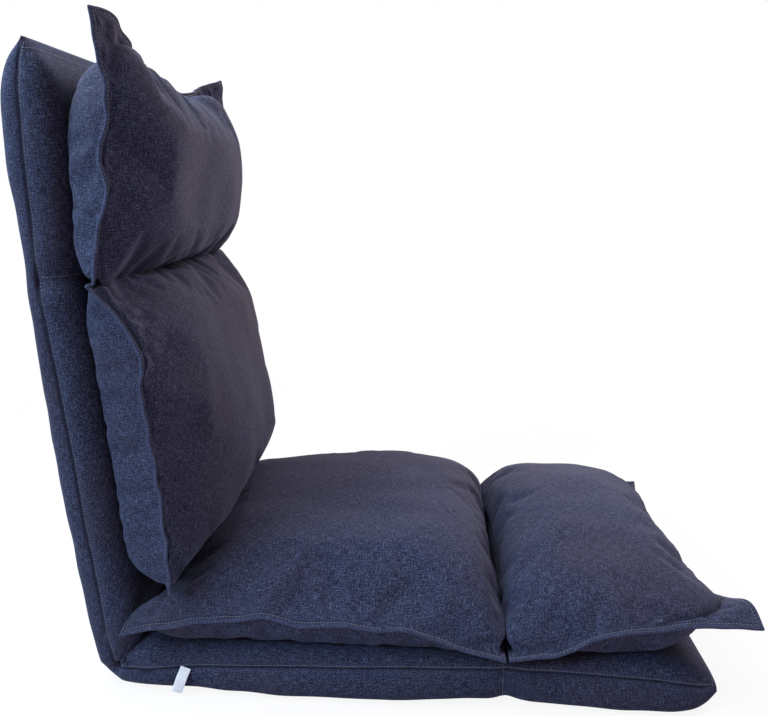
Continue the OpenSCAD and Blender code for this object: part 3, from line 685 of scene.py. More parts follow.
def quiltSleeve(rings, travel, marks, s):
    # seams pulled in, filling pushed out between them, and small puckers that run away from each seam
    rows, columns = rings.shape[:2]
    n = s["sideRows"]
    far = 2 * n + s["faceRows"]
    out = ringNormals(rings)
    toSeam = np.minimum.reduce([
        np.abs(np.arange(columns)), np.abs(np.arange(columns) - far), columns - np.arange(columns)
    ]).astype(float)
    pullDeep, pullWide = s["seamPull"]
    puffHigh, puffWide, puffAway = s["seamPuff"]
    seamPull = bell(toSeam, pullWide) * pullDeep
    puff = bell(toSeam - puffAway, puffWide) * puffHigh
    flat = rings.reshape(-1, 3)
    soft = ripple(flat, s["soft"], 3.1).reshape(rows, columns)
    tone = ripple(flat, s["tone"], 7.7).reshape(rows, columns)
    zeros = np.zeros(rows * columns)
    pucker = ripple(np.c_[travel.repeat(columns), zeros, zeros], (s["puckerPitch"], 1, 1), 12.3)
    puckerDeep, puckerWide = s["pucker"]
    pucker = pucker.reshape(rows, columns) * bell(toSeam, puckerWide)[None, :]
    push = puff[None, :] * (1 + s["softPuff"] * soft) - seamPull[None, :] + s["softPush"] * soft
    push += s["tonePush"] * tone
    push += puckerDeep * pucker
    cross = np.zeros(rows)
    share, wide, apart = s["crossPuff"]
    for mark, depth in s["crossSeams"]:
        away = (np.arange(rows) - marks[mark]) * s["step"]
        cross += depth * bell(away, s["crossWide"]) - depth * share * bell(np.abs(away) - apart, wide)
    away = (np.arange(rows) - marks["backHinge"]) / s["heelRows"]
    share, wide, apart = s["heelPuff"]
    heel = bell(away, s["heelWide"]) - share * bell(np.abs(away) - apart, wide)
    underSide = np.arange(columns) > far
    nearSide = smoothStep((np.where(underSide, 8, 12) - toSeam) / 5)
    nearSide = nearSide * np.where(underSide, s["heelUnder"], 1)
    push -= s["heelFold"] * heel[:, None] * nearSide[None, :]
    onFace = np.zeros(columns)
    onFace[: far + 1] = 1
    around = np.where(np.arange(rows) < (marks["footHinge"] + marks["backMiddle"]) // 2, 1.0, 0.0)
    push -= cross[:, None] * np.maximum(onFace[None, :], around[:, None])
    ends = np.minimum(np.arange(rows), rows - 1 - np.arange(rows)) / 4.0
    push *= smoothStep(ends)[:, None]
    return rings + out * push[:, :, None]


def sleevePiece(name, rings, travel, first, last, s):
    rows, columns = last - first, rings.shape[1]
    piece, column, row = gridPiece(name, columns, rows)
    wrapped = np.concatenate([rings, rings[:, :1]], axis=1)
    points = wrapped[first + row, column]
    girth = np.zeros(wrapped.shape[:2])
    girth[:, 1:] = np.cumsum(np.linalg.norm(np.diff(wrapped, axis=1), axis=2), axis=1)
    writeMap(piece, girth[first + row, column], travel[first + row])
    n = s["sideRows"]
    toSeam = np.minimum.reduce([column, np.abs(column - 2 * n - s["faceRows"]), columns - column])
    rubMost, rubWide, rubAway = s["seamRub"]
    shadeMost, shadeWide = s["seamShade"]
    writeMark(piece, "rubbed", rubMost * bell(toSeam - rubAway, rubWide))
    # painted shade in the groove beside each side seam
    writeMark(piece, "paintedGrooveShade", shadeMost * bell(toSeam, shadeWide))
    setCoordinates(piece, points)
    for end in (0, rows):
        group = piece.vertex_groups.new(name="cutEdge")
        group.add([int(k) for k in np.nonzero(row == end)[0]], 1.0, "REPLACE")
    takeOnly(piece)
    bpy.ops.object.mode_set(mode="EDIT")
    bpy.ops.mesh.select_mode(type="VERT")
    bpy.ops.mesh.select_all(action="SELECT")
    bpy.ops.mesh.remove_doubles(threshold=0.0004)
    for index in range(2):
        bpy.ops.mesh.select_all(action="DESELECT")
        piece.vertex_groups.active_index = index
        bpy.ops.object.vertex_group_select()
        bpy.ops.transform.edge_crease(value=1)
        bpy.ops.mesh.edge_face_add()
    bpy.ops.mesh.select_all(action="SELECT")
    bpy.ops.mesh.normals_make_consistent(inside=False)
    bpy.ops.object.mode_set(mode="OBJECT")
    piece.data.materials.append(denimCloth)
    subdivide(piece)
    shadeSmooth(piece, 60)
    return piece


sleeve, alongChair, chairMarks = sleeveRings(base, baseLines, chair)
sleeve = quiltSleeve(sleeve, alongChair, chairMarks, base)
sleeve[:, :, 2] = np.maximum(sleeve[:, :, 2], base["liftFloor"])
seatCut, backCut, lastRow = chairMarks["seatMiddle"], chairMarks["backMiddle"], len(sleeve) - 1
footSeatCover = sleevePiece("footSeatCover", sleeve, alongChair, 0, seatCut, base)
seatBackCover = sleevePiece("seatBackCover", sleeve, alongChair, seatCut, backCut, base)
backHeadCover = sleevePiece("backHeadCover", sleeve, alongChair, backCut, lastRow, base)
print("stage: base cover")


# pillows: two denim panels stitched round a flange, swollen by cloth pressure over their filling
sewing = {
    "cell": 0.0066,           # size of the cloth's squares on the flat of a pillow
    "flange": (0, 0.0016, 0.0034, 0.0052, 0.0080, 0.0096),
    "wallReach": 0.030,       # how far in from the flange the side still climbs
    "wallRows": 9,
    "rimShape": ((0, 0.0030), (0.0016, 0.0046), (0.0034, 0.0038), (0.0052, 0.0014), (0.0080, 0.0040)),
    "stitchLine": 3,          # which line of the flange carries the top stitching
    "frames": 16,             # steps of the cloth simulation
    "restFrames": 5,          # frames that its cache goes on for
    "pressure": 2.2,
    "quality": 6, "mass": 0.35, "stretch": 22, "shear": 9, "bending": 1.6, "damping": 4,
    "cap": 0.018,             # no point of the cloth moves further than this
    "resting": 0.0030,        # cloth that lies lower than this stays on its pad
    # the waving flange: size of its long and short waves, and how far they reach into the panels
    "longWave": (0.075, 0.075, 1), "shortWave": (0.026, 0.026, 1), "shortShare": 0.75,
    "flangeEdge": 0.008, "waveReach": 0.018,
    # how worn the edge is, and the painted shade in the groove under the stitches
    "edgeRub": 0.0012, "softRub": (0.28, 0.006), "groove": (0.0052, 0.0012),
    # soft dents over the whole panel, and small tucks beside the flange
    "dents": (((0.17, 0.17, 0.17), 9, 0.0050), ((0.06, 0.06, 0.06), 2, 0.0014)),
    "tucks": ((0.014, 0.014, 1), 21, 0.0011),
    # how full the panels are: rear panel's powers, its square under the pad, sides over the flange
    "rearMore": (2.5, 2), "rearEar": (4.2, 2.4),
    "underFull": (0.55, 0.75), "riseShape": (0.5, 0.16, 6),
    "bellyStart": 0.22, "bellyShape": 0.55, "rearBelly": 0.4,
}


def clothLines(s, width):
    # grid lines across a pillow, close together on the flange and on the swollen sides
    steps = np.array(s["flange"])
    walls = steps[-1] + s["wallReach"] * (np.arange(1, s["wallRows"] + 1) / s["wallRows"]) ** 1.7
    edge = np.concatenate([steps, walls])
    count = max(4, round((width - 2 * edge[-1]) / s["cell"]))
    middle = np.linspace(edge[-1], width - edge[-1], count + 1)[1:-1]
    return np.concatenate([edge, middle, width - edge[::-1]])


def pillowShape(p, s, column, row, across, along, top):
    # where each corner of the two panels lies before the pressure, across, along and over the pad
    steps = np.array(s["flange"])
    width, length = 2 * p["halfWidth"], 2 * p["halfLength"]
    u, v = across[column] / width * 2 - 1, along[row] / length * 2 - 1
    inU, inV = 1 - 2 * steps[-2] / width, 1 - 2 * steps[-2] / length
    near, far = profile(p["nearDraw"], v), profile(p["farDraw"], v)
    low, high = profile(p["lowDraw"], u), profile(p["highDraw"], u)
    a, b = (u + 1) / 2, (v + 1) / 2
    x = -p["halfWidth"] + near + (width - near - far) * a
    y = -p["halfLength"] + low + (length - low - high) * b
    sides = (1 - a) * profile(p["nearHeight"], v) + a * profile(p["farHeight"], v)
    ends = (1 - b) * profile(p["lowHeight"], u) + b * profile(p["highHeight"], u)
    lowEnds, highEnds = ([profile(p[k], e) for e in (-1, 1)] for k in ("lowHeight", "highHeight"))
    lowEdge = (1 - a) * lowEnds[0] + a * lowEnds[1]
    highEdge = (1 - a) * highEnds[0] + a * highEnds[1]
    seam = sides + ends - ((1 - b) * lowEdge + b * highEdge)
    fu, fv = np.clip(np.abs(u) / inU, 0, 1), np.clip(np.abs(v) / inV, 0, 1)
    inside = (fu < 0.9999) & (fv < 0.9999)
    edge = np.minimum((1 - np.abs(u)) * width / 2, (1 - np.abs(v)) * length / 2)
    thick = np.interp(edge, [k[0] for k in s["rimShape"]], [k[1] for k in s["rimShape"]]) / 2

    # full to its corners at the hinge, while a free edge leaves empty ears at its corners
    ear = p["ears"] * smoothStep(v * 1.4 + 0.3)
    fullAlong = p["fullAlong"][0] + (p["fullAlong"][1] - p["fullAlong"][0]) * smoothStep(v * 1.5 + 0.5)
    full = (1 - fu ** p["fullAcross"]) * (1 - fv ** fullAlong)
    body = full * (1 - ear) + np.clip(1 - fu ** p["fullAcross"] - fv ** fullAlong, 0, 1) * ear
    moreAcross, moreAlong = s["rearMore"]
    earAcross, earAlong = s["rearEar"]
    full = (1 - fu ** (p["fullAcross"] + moreAcross)) * (1 - fv ** (fullAlong + moreAlong))
    rearBody = full * (1 - ear) + np.clip(1 - fu ** earAcross - fv ** earAlong, 0, 1) * ear
    crown = p["crown"] * profile(p["crownAlong"], v) * profile(p["crownAcross"], u) - seam
    low, more, power = s["riseShape"]
    rise = body ** (low + more * fu ** power * (1 - fv ** power))
    fullFrom, power = s["underFull"]
    under = np.sin(np.pi / 2 * np.clip(rearBody / fullFrom, 0, 1)) ** power
    z = np.where(top, seam + thick + crown * rise, seam - thick - (seam - thick - p["padGap"]) * under)

    # the swollen sides hang out over their flange
    share = np.where(top, rise, under)
    belly = smoothStep(share / s["bellyStart"]) * (1 - share) ** s["bellyShape"]
    belly = belly * np.where(top, 1, s["rearBelly"])
    lowBulge, highBulge, nearBulge, farBulge = p["bulge"]
    y -= lowBulge * belly * smoothStep((-v - 0.35) / 0.4)
    y += highBulge * belly * smoothStep((v - 0.35) / 0.4)
    x -= nearBulge * belly * smoothStep((-u - 0.6) / 0.3)
    x += farBulge * belly * smoothStep((u - 0.6) / 0.3)
    return np.c_[x, y, z], inside, edge


def swellCloth(piece, held, spareCloth, s):
    # cloth pressure over the filling, with the flange and what rests on the pad held still
    hold = piece.vertex_groups.new(name="heldSeams")
    for index in np.nonzero(held)[0]:
        hold.add([int(index)], 1.0, "REPLACE")
    m = piece.modifiers.new("pillowCloth", "CLOTH")
    m.settings.vertex_group_mass = "heldSeams"
    m.settings.quality = s["quality"]
    m.settings.mass = s["mass"]
    m.settings.tension_stiffness = m.settings.compression_stiffness = s["stretch"]
    m.settings.shear_stiffness = s["shear"]
    m.settings.bending_stiffness = s["bending"]
    m.settings.air_damping = s["damping"]
    m.settings.use_pressure = True
    m.settings.uniform_pressure_force = s["pressure"]
    m.settings.shrink_min = spareCloth
    m.settings.effector_weights.gravity = 0
    m.collision_settings.use_collision = False
    m.point_cache.frame_end = s["frames"] + s["restFrames"]
    for f in range(1, s["frames"] + 1):
        bpy.context.scene.frame_set(f)
    applyModifiers(piece)
    bpy.context.scene.frame_set(1)


def creaseCloth(points, rows):
    # soft grooves across the cloth, each from a start to an end, bowed sideways
    drop = np.zeros(len(points))
    for startX, startY, endX, endY, bow, depth, wide in rows:
        start, end = np.array([startX, startY]), np.array([endX, endY])
        run = end - start
        length = np.linalg.norm(run)
        run /= length
        side = np.array([-run[1], run[0]])
        off = points[:, :2] - start
        t = off @ run / length
        away = off @ side - bow * 4 * t * (1 - t)
        fade = smoothStep((t + 0.10) / 0.18) * smoothStep((1 - t) / 0.55)
        groove = bell(away, wide) - 0.45 * bell(np.abs(away) - 2.1 * wide, 1.3 * wide)
        drop += depth * fade * groove
    return drop


def readPoints(piece, name):
    values = np.empty(len(piece.data.vertices), np.float32)
    piece.data.attributes[name].data.foreach_get("value", values)
    return values.astype(float)


def sewPillow(name, section, p, s):
    across, along = clothLines(s, 2 * p["halfWidth"]), clothLines(s, 2 * p["halfLength"])
    columns, rows = len(across) - 1, len(along) - 1
    piece, column, row = gridPiece(name, columns, rows)
    bpy.ops.object.mode_set(mode="EDIT")
    bpy.ops.mesh.select_all(action="SELECT")
    bpy.ops.mesh.extrude_region_move(TRANSFORM_OT_translate={"value": (0, 0, -1)})
    bpy.ops.object.mode_set(mode="OBJECT")
    faceOutward(piece)
    start = coordinates(piece)
    top = start[:, 2] > -0.5
    column = np.rint((start[:, 0] + 0.5) * columns).astype(int)
    row = np.rint((start[:, 1] + 0.5) * rows).astype(int)
    points, inside, edge = pillowShape(p, s, column, row, across, along, top)

    # the flange waves, and the panels beside it follow less and less
    seed = p["seed"]
    rim = np.c_[points[:, 0], points[:, 1], np.zeros(len(points))]
    wave = ripple(rim, s["longWave"], seed) * p["wave"]
    wave = wave + ripple(rim, s["shortWave"], seed + 5) * p["wave"] * s["shortShare"]
    pastFlange = np.maximum(edge - s["flangeEdge"], 0)
    points[:, 2] += wave * bell(pastFlange, s["waveReach"])
    points[:, 2] = np.maximum(points[:, 2], p["padGap"])
    rubShare, rubReach = s["softRub"]
    grooveAt, grooveWide = s["groove"]
    worn = np.where(edge < s["edgeRub"], 1.0, rubShare * np.exp(-pastFlange / rubReach))
    writeMark(piece, "rubbed", worn)
    # painted shade in the groove under the top stitching
    writeMark(piece, "paintedGrooveShade", bell(edge - grooveAt, grooveWide))
    writeMark(piece, "fromEdge", edge)
    writeMark(piece, "upperPanel", top)
    setCoordinates(piece, points)
    resting = (~top) & (points[:, 2] < s["resting"])
    swellCloth(piece, (~inside) | resting, p["spareCloth"], s)
    moved = coordinates(piece) - points
    size = np.linalg.norm(moved, axis=1, keepdims=True)
    points = points + moved * np.minimum(1, s["cap"] / np.maximum(size, 1e-9))
    setCoordinates(piece, points)
    mapPanels(piece, points, column, row, top, seed)

    # the two rings of the top stitching, one on each panel, as corners of the cloth
    rings = []
    for side in (top, ~top):
        at = {(c, r): k for k, (c, r, on) in enumerate(zip(column, row, side)) if on}
        q, endC, endR = s["stitchLine"], columns - s["stitchLine"], rows - s["stitchLine"]
        walk = [(c, q) for c in range(q, endC)] + [(endC, r) for r in range(q, endR)]
        walk += [(c, endR) for c in range(endC, q, -1)] + [(q, r) for r in range(endR, q, -1)]
        rings.append([at[k] for k in walk])

    subdivide(piece)
    points = coordinates(piece)
    edge, upper = readPoints(piece, "fromEdge"), readPoints(piece, "upperPanel")
    for label in ("fromEdge", "upperPanel"):
        piece.data.attributes.remove(piece.data.attributes[label])
    face = smoothStep((edge - 0.008) / 0.03) * smoothStep(upper)
    points[:, 2] += sum(ripple(points, size, seed + k) * high for size, k, high in s["dents"]) * face
    gather = smoothStep((edge - 0.006) / 0.006) * smoothStep((0.050 - edge) / 0.036)
    tuckSize, k, high = s["tucks"]
    tuck = ripple(np.c_[points[:, :2], np.zeros(len(points))], tuckSize, seed + k)
    points[:, 2] += high * tuck * gather * np.where(upper > 0.5, 1, -1)
    fromFlange = smoothStep((edge - 0.007) / 0.006)
    points[:, 2] -= creaseCloth(points, p["creases"]) * fromFlange * smoothStep(upper)
    points[:, 2] = np.maximum(points[:, 2], p["padGap"])
    setCoordinates(piece, placeOn(section, points + np.array([0, p["middle"], chair["faceHeight"]])))
    if section == "foot":       # its frame is mirrored
        faceOutward(piece)
    piece.data.materials.append(denimCloth)
    shadeSmooth(piece, 70)
    return piece, rings


even = [(-1, 1), (1, 1)]
flatDraw = [(-1, 0.002), (-0.8, 0.006), (0, 0.009), (0.8, 0.006), (1, 0.002)]
hiddenDraw = [(-1, 0.001), (0, 0.002), (1, 0.001)]
headPillow = {
    "halfWidth": 0.270, "halfLength": 0.151, "middle": 0.147, "crown": 0.099, "padGap": 0.0012,
    "ears": 1, "fullAcross": 3.6, "fullAlong": (6.5, 4.2), "bulge": (0.017, 0.009, 0.001, 0.004),
    "crownAlong": [(-1, 0.70), (-0.5, 0.83), (0, 0.94), (0.5, 1.0), (1, 0.97)], "crownAcross": even,
    "nearDraw": [(-1, 0.002), (-0.6, 0.007), (0, 0.009), (0.5, 0.008), (0.85, 0.003), (1, 0)],
    "farDraw": [(-1, 0.004), (-0.6, 0.008), (0, 0.012), (0.5, 0.010), (0.85, 0.006), (1, 0.003)],
    "lowDraw": hiddenDraw,
    "highDraw": [(-1, 0.002), (-0.92, 0), (-0.83, 0.002), (-0.75, 0.013), (-0.62, 0.027), (-0.39, 0.043),
                 (0, 0.054), (0.35, 0.047), (0.6, 0.034), (0.86, 0.015), (1, 0.005)],
    "nearHeight": [(-1, 0.030), (-0.65, 0.040), (-0.32, 0.057), (-0.02, 0.054), (0.27, 0.062),
                   (0.51, 0.060), (1, 0.060)],
    "farHeight": [(-1, 0.020), (-0.4, 0.050), (0.3, 0.055), (1, 0.050)],
    "lowHeight": [(-1, 0.030), (-0.8, 0.016), (-0.4, 0.010), (0.4, 0.010), (1, 0.020)],
    "highHeight": [(-1, 0.060), (-0.85, 0.066), (-0.74, 0.066), (-0.3, 0.058), (0.3, 0.045),
                   (0.74, 0.036), (1, 0.050)],
    "spareCloth": -0.035, "wave": 0.0042, "seed": 2.3,
    "creases": [(-0.04, 0.100, -0.030, 0.070, 0.002, 0.0030, 0.0034),
                (0.075, 0.102, 0.095, 0.036, 0.007, 0.0050, 0.0036),
                (0.145, 0.108, 0.170, 0.055, 0.006, 0.0048, 0.0036),
                (0.215, 0.118, 0.235, 0.072, 0.004, 0.0042, 0.0034),
                (-0.145, 0.105, -0.120, 0.050, -0.004, 0.0016, 0.0060),
                (-0.215, 0.120, -0.150, 0.040, 0.010, 0.0020, 0.0070)],
}
lumbarPillow = {
    "halfWidth": 0.270, "halfLength": 0.200, "middle": 0.304, "crown": 0.113, "padGap": 0.0012,
    "ears": 0, "fullAcross": 3.8, "fullAlong": (7.5, 7), "bulge": (0.010, 0.017, 0.001, 0.004),
    "crownAlong": [(-1, 0.94), (-0.6, 0.96), (0, 0.90), (0.55, 0.74), (1, 0.52)], "crownAcross": even,
    "nearDraw": [(-1, 0.002), (-0.6, 0.006), (0, 0.010), (0.5, 0.008), (0.9, 0.003), (1, 0)],
    "farDraw": flatDraw, "lowDraw": [(-1, 0.0), (-0.8, 0.006), (0, 0.008), (1, 0.004)],
    "highDraw": hiddenDraw,
    "nearHeight": [(-1, 0.066), (-0.76, 0.068), (-0.06, 0.070), (0.34, 0.064), (0.56, 0.076),
                   (0.74, 0.062), (1, 0.026)],
    "farHeight": [(-1, 0.050), (0, 0.062), (0.6, 0.060), (1, 0.024)],
    "lowHeight": [(-1, 0.066), (-0.85, 0.044), (-0.5, 0.034), (0.5, 0.034), (1, 0.050)],
    "highHeight": [(-1, 0.026), (-0.8, 0.014), (-0.4, 0.010), (0.4, 0.010), (1, 0.024)],
    "spareCloth": -0.03, "wave": 0.0036, "seed": 5.1,
    "creases": [(-0.258, 0.115, -0.225, 0.085, 0.003, 0.0026, 0.0045),
                (-0.262, 0.160, -0.200, 0.150, -0.006, 0.0030, 0.0050),
                (-0.262, -0.165, -0.215, -0.140, 0.004, 0.0024, 0.0048)],
}
seatPillow = {
    "halfWidth": 0.270, "halfLength": 0.249, "middle": 0.251, "crown": 0.111, "padGap": 0.0012,
    "ears": 0, "fullAcross": 3.8, "fullAlong": (7, 7), "bulge": (0.016, 0.002, 0.001, 0.004),
    "crownAlong": [(-1, 0.94), (-0.6, 0.96), (0.2, 0.95), (0.68, 0.85), (1, 0.70)],
    "crownAcross": [(-1, 0.99), (0.3, 1), (1, 1.04)],
    "nearDraw": [(-1, 0.002), (-0.6, 0.008), (0, 0.008), (0.6, 0.009), (0.9, 0.003), (1, 0)],
    "farDraw": flatDraw, "lowDraw": hiddenDraw,
    "highDraw": [(-1, 0), (-0.95, 0.006), (-0.75, 0.032), (-0.5, 0.030), (0, 0.022), (0.8, 0.014),
                 (1, 0.010)],
    "nearHeight": [(-1, 0.004), (-0.8, 0.020), (-0.60, 0.035), (-0.2, 0.042), (0.09, 0.046),
                   (0.17, 0.054), (0.41, 0.046), (0.8, 0.039), (1, 0.030)],
    "farHeight": [(-1, 0.012), (-0.6, 0.040), (0, 0.045), (0.6, 0.040), (1, 0.030)],
    "lowHeight": [(-1, 0.004), (-0.7, 0.008), (0, 0.010), (0.7, 0.008), (1, 0.012)],
    "highHeight": [(-1, 0.034), (-0.95, 0.047), (-0.75, 0.050), (-0.4, 0.034), (0.5, 0.030), (1, 0.030)],
    "spareCloth": -0.03, "wave": 0.0030, "seed": 8.4,
    "creases": [(-0.255, -0.215, -0.205, -0.170, 0.006, 0.0036, 0.0055),
                (-0.262, -0.180, -0.225, -0.150, -0.004, 0.0026, 0.0045),
                (-0.262, 0.045, -0.235, 0.060, 0.002, 0.0022, 0.0042),
                (-0.262, 0.205, -0.200, 0.165, 0.006, 0.0030, 0.0060)],
}
footPillow = {
    "halfWidth": 0.270, "halfLength": 0.153, "middle": 0.153, "crown": 0.103, "padGap": 0.0012,
    "ears": 1, "fullAcross": 3.6, "fullAlong": (6.5, 4.0), "bulge": (0.016, 0.013, 0.001, 0.004),
    "crownAlong": [(-1, 0.95), (0, 1), (0.5, 0.97), (1, 0.93)], "crownAcross": even,
    "nearDraw": [(-1, 0.004), (-0.5, 0.008), (0, 0.009), (0.5, 0.006), (0.85, 0.002), (1, 0)],
    "farDraw": [(-1, 0.004), (-0.5, 0.008), (0, 0.010), (0.5, 0.010), (0.85, 0.006), (1, 0.003)],
    "lowDraw": hiddenDraw,
    "highDraw": [(-1, 0), (-0.90, 0.002), (-0.80, 0.009), (-0.70, 0.021), (-0.6, 0.032), (-0.35, 0.040),
                 (0, 0.039), (0.4, 0.031), (0.74, 0.020), (0.92, 0.013), (1, 0.009)],
    "nearHeight": [(-1, 0.006), (-0.86, 0.008), (-0.73, 0.010), (-0.3, 0.037), (0.2, 0.052), (0.5, 0.060),
                   (1, 0.070)],
    "farHeight": [(-1, 0.014), (-0.5, 0.036), (0.3, 0.040), (1, 0.036)],
    "lowHeight": [(-1, 0.006), (-0.7, 0.008), (0, 0.010), (0.7, 0.008), (1, 0.014)],
    "highHeight": [(-1, 0.070), (-0.88, 0.080), (-0.7, 0.066), (-0.2, 0.046), (0.3, 0.024), (0.74, 0.018),
                   (1, 0.036)],
    "spareCloth": -0.035, "wave": 0.0030, "seed": 11.6,
    "creases": [(-0.262, -0.120, -0.215, -0.080, 0.005, 0.0034, 0.0050),
                (-0.240, -0.128, -0.190, -0.100, 0.003, 0.0026, 0.0050),
                (0.180, 0.118, 0.190, 0.070, 0.004, 0.0022, 0.0050),
                (0.090, 0.112, 0.105, 0.060, -0.003, 0.0018, 0.0055),
                (-0.200, 0.100, -0.150, 0.030, 0.008, 0.0016, 0.0080)],
}
headCushion, headRings = sewPillow("headCushion", "head", headPillow, sewing)
print("stage: head pillow")
lumbarCushion, lumbarRings = sewPillow("lumbarCushion", "back", lumbarPillow, sewing)
print("stage: lumbar pillow")
seatCushion, seatRings = sewPillow("seatCushion", "seat", seatPillow, sewing)
print("stage: seat pillow")
footCushion, footRings = sewPillow("footCushion", "foot", footPillow, sewing)
print("stage: foot pillow")


# top stitching: one stitch, repeated along a guide curve and bent on to the cloth
stitching = {
    "length": 0.0030,
    "pitch": 0.0042,
    "radius": 0.00048,
    "lift": 0.00012,          # over the cloth
    "straight": 0.6,          # share of a stitch before it narrows to its ends
    "end": 0.45,              # how thick its ends are
}


def liftOnto(piece, points, lift):
    # the same points on the surface of a finished piece, a little outside it
    out = []
    for point in points:
        _, place, normal, _ = piece.closest_point_on_mesh(Vector(point))
        out.append(place + normal * lift)
    return out


def guideCurve(points, closed):
    curve = bpy.data.curves.new("stitchGuide", "CURVE")
    curve.dimensions = "3D"
    curve.twist_mode = "Z_UP"
    line = curve.splines.new("POLY")
    line.points.add(len(points) - 1)
    line.points.foreach_set("co", np.c_[np.array(points), np.ones(len(points))].ravel())
    line.use_cyclic_u = closed
    guide = bpy.data.objects.new("stitchGuide", curve)
    bpy.context.collection.objects.link(guide)
    return guide


def stitchRow(points, closed, s):
    guide = guideCurve(points, closed)
    bpy.ops.object.select_all(action="DESELECT")
    bpy.ops.mesh.primitive_cylinder_add(
        vertices=6, radius=s["radius"], depth=s["length"] * s["straight"], end_fill_type="NGON",
        location=(s["length"] / 2, 0, 0), rotation=(0, math.pi / 2, 0))
    endLength = s["length"] * (1 - s["straight"]) / 2
    stitch = bpy.context.object
    bpy.ops.object.transform_apply(location=True, rotation=True, scale=True)
    bpy.ops.object.mode_set(mode="EDIT")
    bpy.ops.mesh.select_mode(type="FACE")
    for side in (-1, 1):
        bpy.ops.mesh.select_all(action="DESELECT")
        bpy.ops.object.mode_set(mode="OBJECT")
        for face in stitch.data.polygons:
            face.select = face.normal.x * side > 0.9
        bpy.ops.object.mode_set(mode="EDIT")
        bpy.ops.mesh.extrude_region_move(TRANSFORM_OT_translate={"value": (side * endLength, 0, 0)})
        bpy.ops.transform.resize(value=(1, s["end"], s["end"]))
    bpy.ops.object.mode_set(mode="OBJECT")
    repeat = stitch.modifiers.new("repeatStitch", "ARRAY")
    repeat.fit_type = "FIT_CURVE"
    repeat.curve = guide
    repeat.use_relative_offset = False
    repeat.use_constant_offset = True
    repeat.constant_offset_displace = (s["pitch"], 0, 0)
    bend = stitch.modifiers.new("bendStitch", "CURVE")
    bend.object = guide
    bend.deform_axis = "POS_X"
    applyModifiers(stitch)
    bpy.data.objects.remove(guide)
    return stitch


def stitchPiece(name, cloth, paths, s):
    # all rows on one piece of cloth, joined
    rows = [stitchRow(liftOnto(cloth, path, s["lift"]), closed, s) for path, closed in paths]
    takeOnly(*rows)
    if len(rows) > 1:
        bpy.ops.object.join()
    piece = bpy.context.object
    piece.name = piece.data.name = name
    piece.data.materials.append(topThread)
    shadeSmooth(piece, 60)
    return piece


def cutPath(path, along, place, keep):
    # the part of a closed ring that lies on one side of a plane across the chair
    inFront = [(np.dot(p, along) < place) == keep for p in path]
    starts = [k for k in range(len(path)) if inFront[k] and not inFront[k - 1]]
    run, k = [], starts[0]
    while inFront[k % len(path)]:
        run.append(path[k % len(path)])
        k += 1
    return run


def ringPaths(piece, rings):
    points = coordinates(piece)
    return [[points[k] for k in ring] for ring in rings]


# where the two cushions that lie between two joints are cut,
# so that each half bends over its own joint
backAlong = sections["back"]["along"]
cuts = {
    "seat": {"along": np.array([0, 1.0, 0]), "place": np.array([0, -0.100, 0.1])},
    "lumbar": {"along": backAlong, "place": backHinge + 0.352 * backAlong},
}


def halfPaths(piece, rings, cut, first):
    edge = float(np.dot(cut["place"], cut["along"]))
    return [(cutPath(path, cut["along"], edge, first), False) for path in ringPaths(piece, rings)]


def besideSeam(rows, column, step, offset):
    # a line on the base cover beside a side seam
    seam = sleeve[rows, column]
    toward = sleeve[rows, column + step] - seam
    return seam + toward / np.linalg.norm(toward, axis=1, keepdims=True) * offset


def acrossCover(row, columns, step, offset):
    # a line on the base cover beside a cross seam
    seam = sleeve[row, columns]
    toward = sleeve[row + step, columns] - seam
    return seam + toward / np.maximum(np.linalg.norm(toward, axis=1, keepdims=True), 1e-9) * offset


coverSeams = {"offset": 0.0050, "endOffset": 0.0060}
farSeam = 2 * base["sideRows"] + base["faceRows"]
faceColumns, allColumns = np.arange(1, farSeam), np.arange(sleeve.shape[1])


def sideRows(first, last):
    rows = np.arange(first, last + 1)
    return [(besideSeam(rows, 0, 1, coverSeams["offset"]), False),
            (besideSeam(rows, farSeam, -1, coverSeams["offset"]), False)]


def crossRow(row, columns, step, offset, closed):
    return [(acrossCover(row, columns, step, coverSeams[offset]), closed)]


def wholeRings(cloth, rings):
    return [(path, True) for path in ringPaths(cloth, rings)]


footHingeRow, headHingeRow = chairMarks["footHinge"], chairMarks["headHinge"]
stitchRows = [
    ("headStitches", headCushion, wholeRings(headCushion, headRings)),
    ("footStitches", footCushion, wholeRings(footCushion, footRings)),
    ("seatFrontStitches", seatCushion, halfPaths(seatCushion, seatRings, cuts["seat"], True)),
    ("seatRearStitches", seatCushion, halfPaths(seatCushion, seatRings, cuts["seat"], False)),
    ("lumbarLowStitches", lumbarCushion, halfPaths(lumbarCushion, lumbarRings, cuts["lumbar"], True)),
    ("lumbarHighStitches", lumbarCushion, halfPaths(lumbarCushion, lumbarRings, cuts["lumbar"], False)),
    ("footSeatStitches", footSeatCover,
     sideRows(1, seatCut) + crossRow(footHingeRow, allColumns, 1, "offset", True)
     + crossRow(0, faceColumns, 1, "endOffset", False)),
    ("seatBackStitches", seatBackCover, sideRows(seatCut, backCut)),
    ("backHeadStitches", backHeadCover,
     sideRows(backCut, lastRow - 1) + crossRow(headHingeRow, faceColumns, 1, "offset", False)
     + crossRow(lastRow - 1, faceColumns, -1, "endOffset", False)),
]
threads = {name: stitchPiece(name, cloth, paths, stitching) for name, cloth, paths in stitchRows}
print("stage: top stitching")


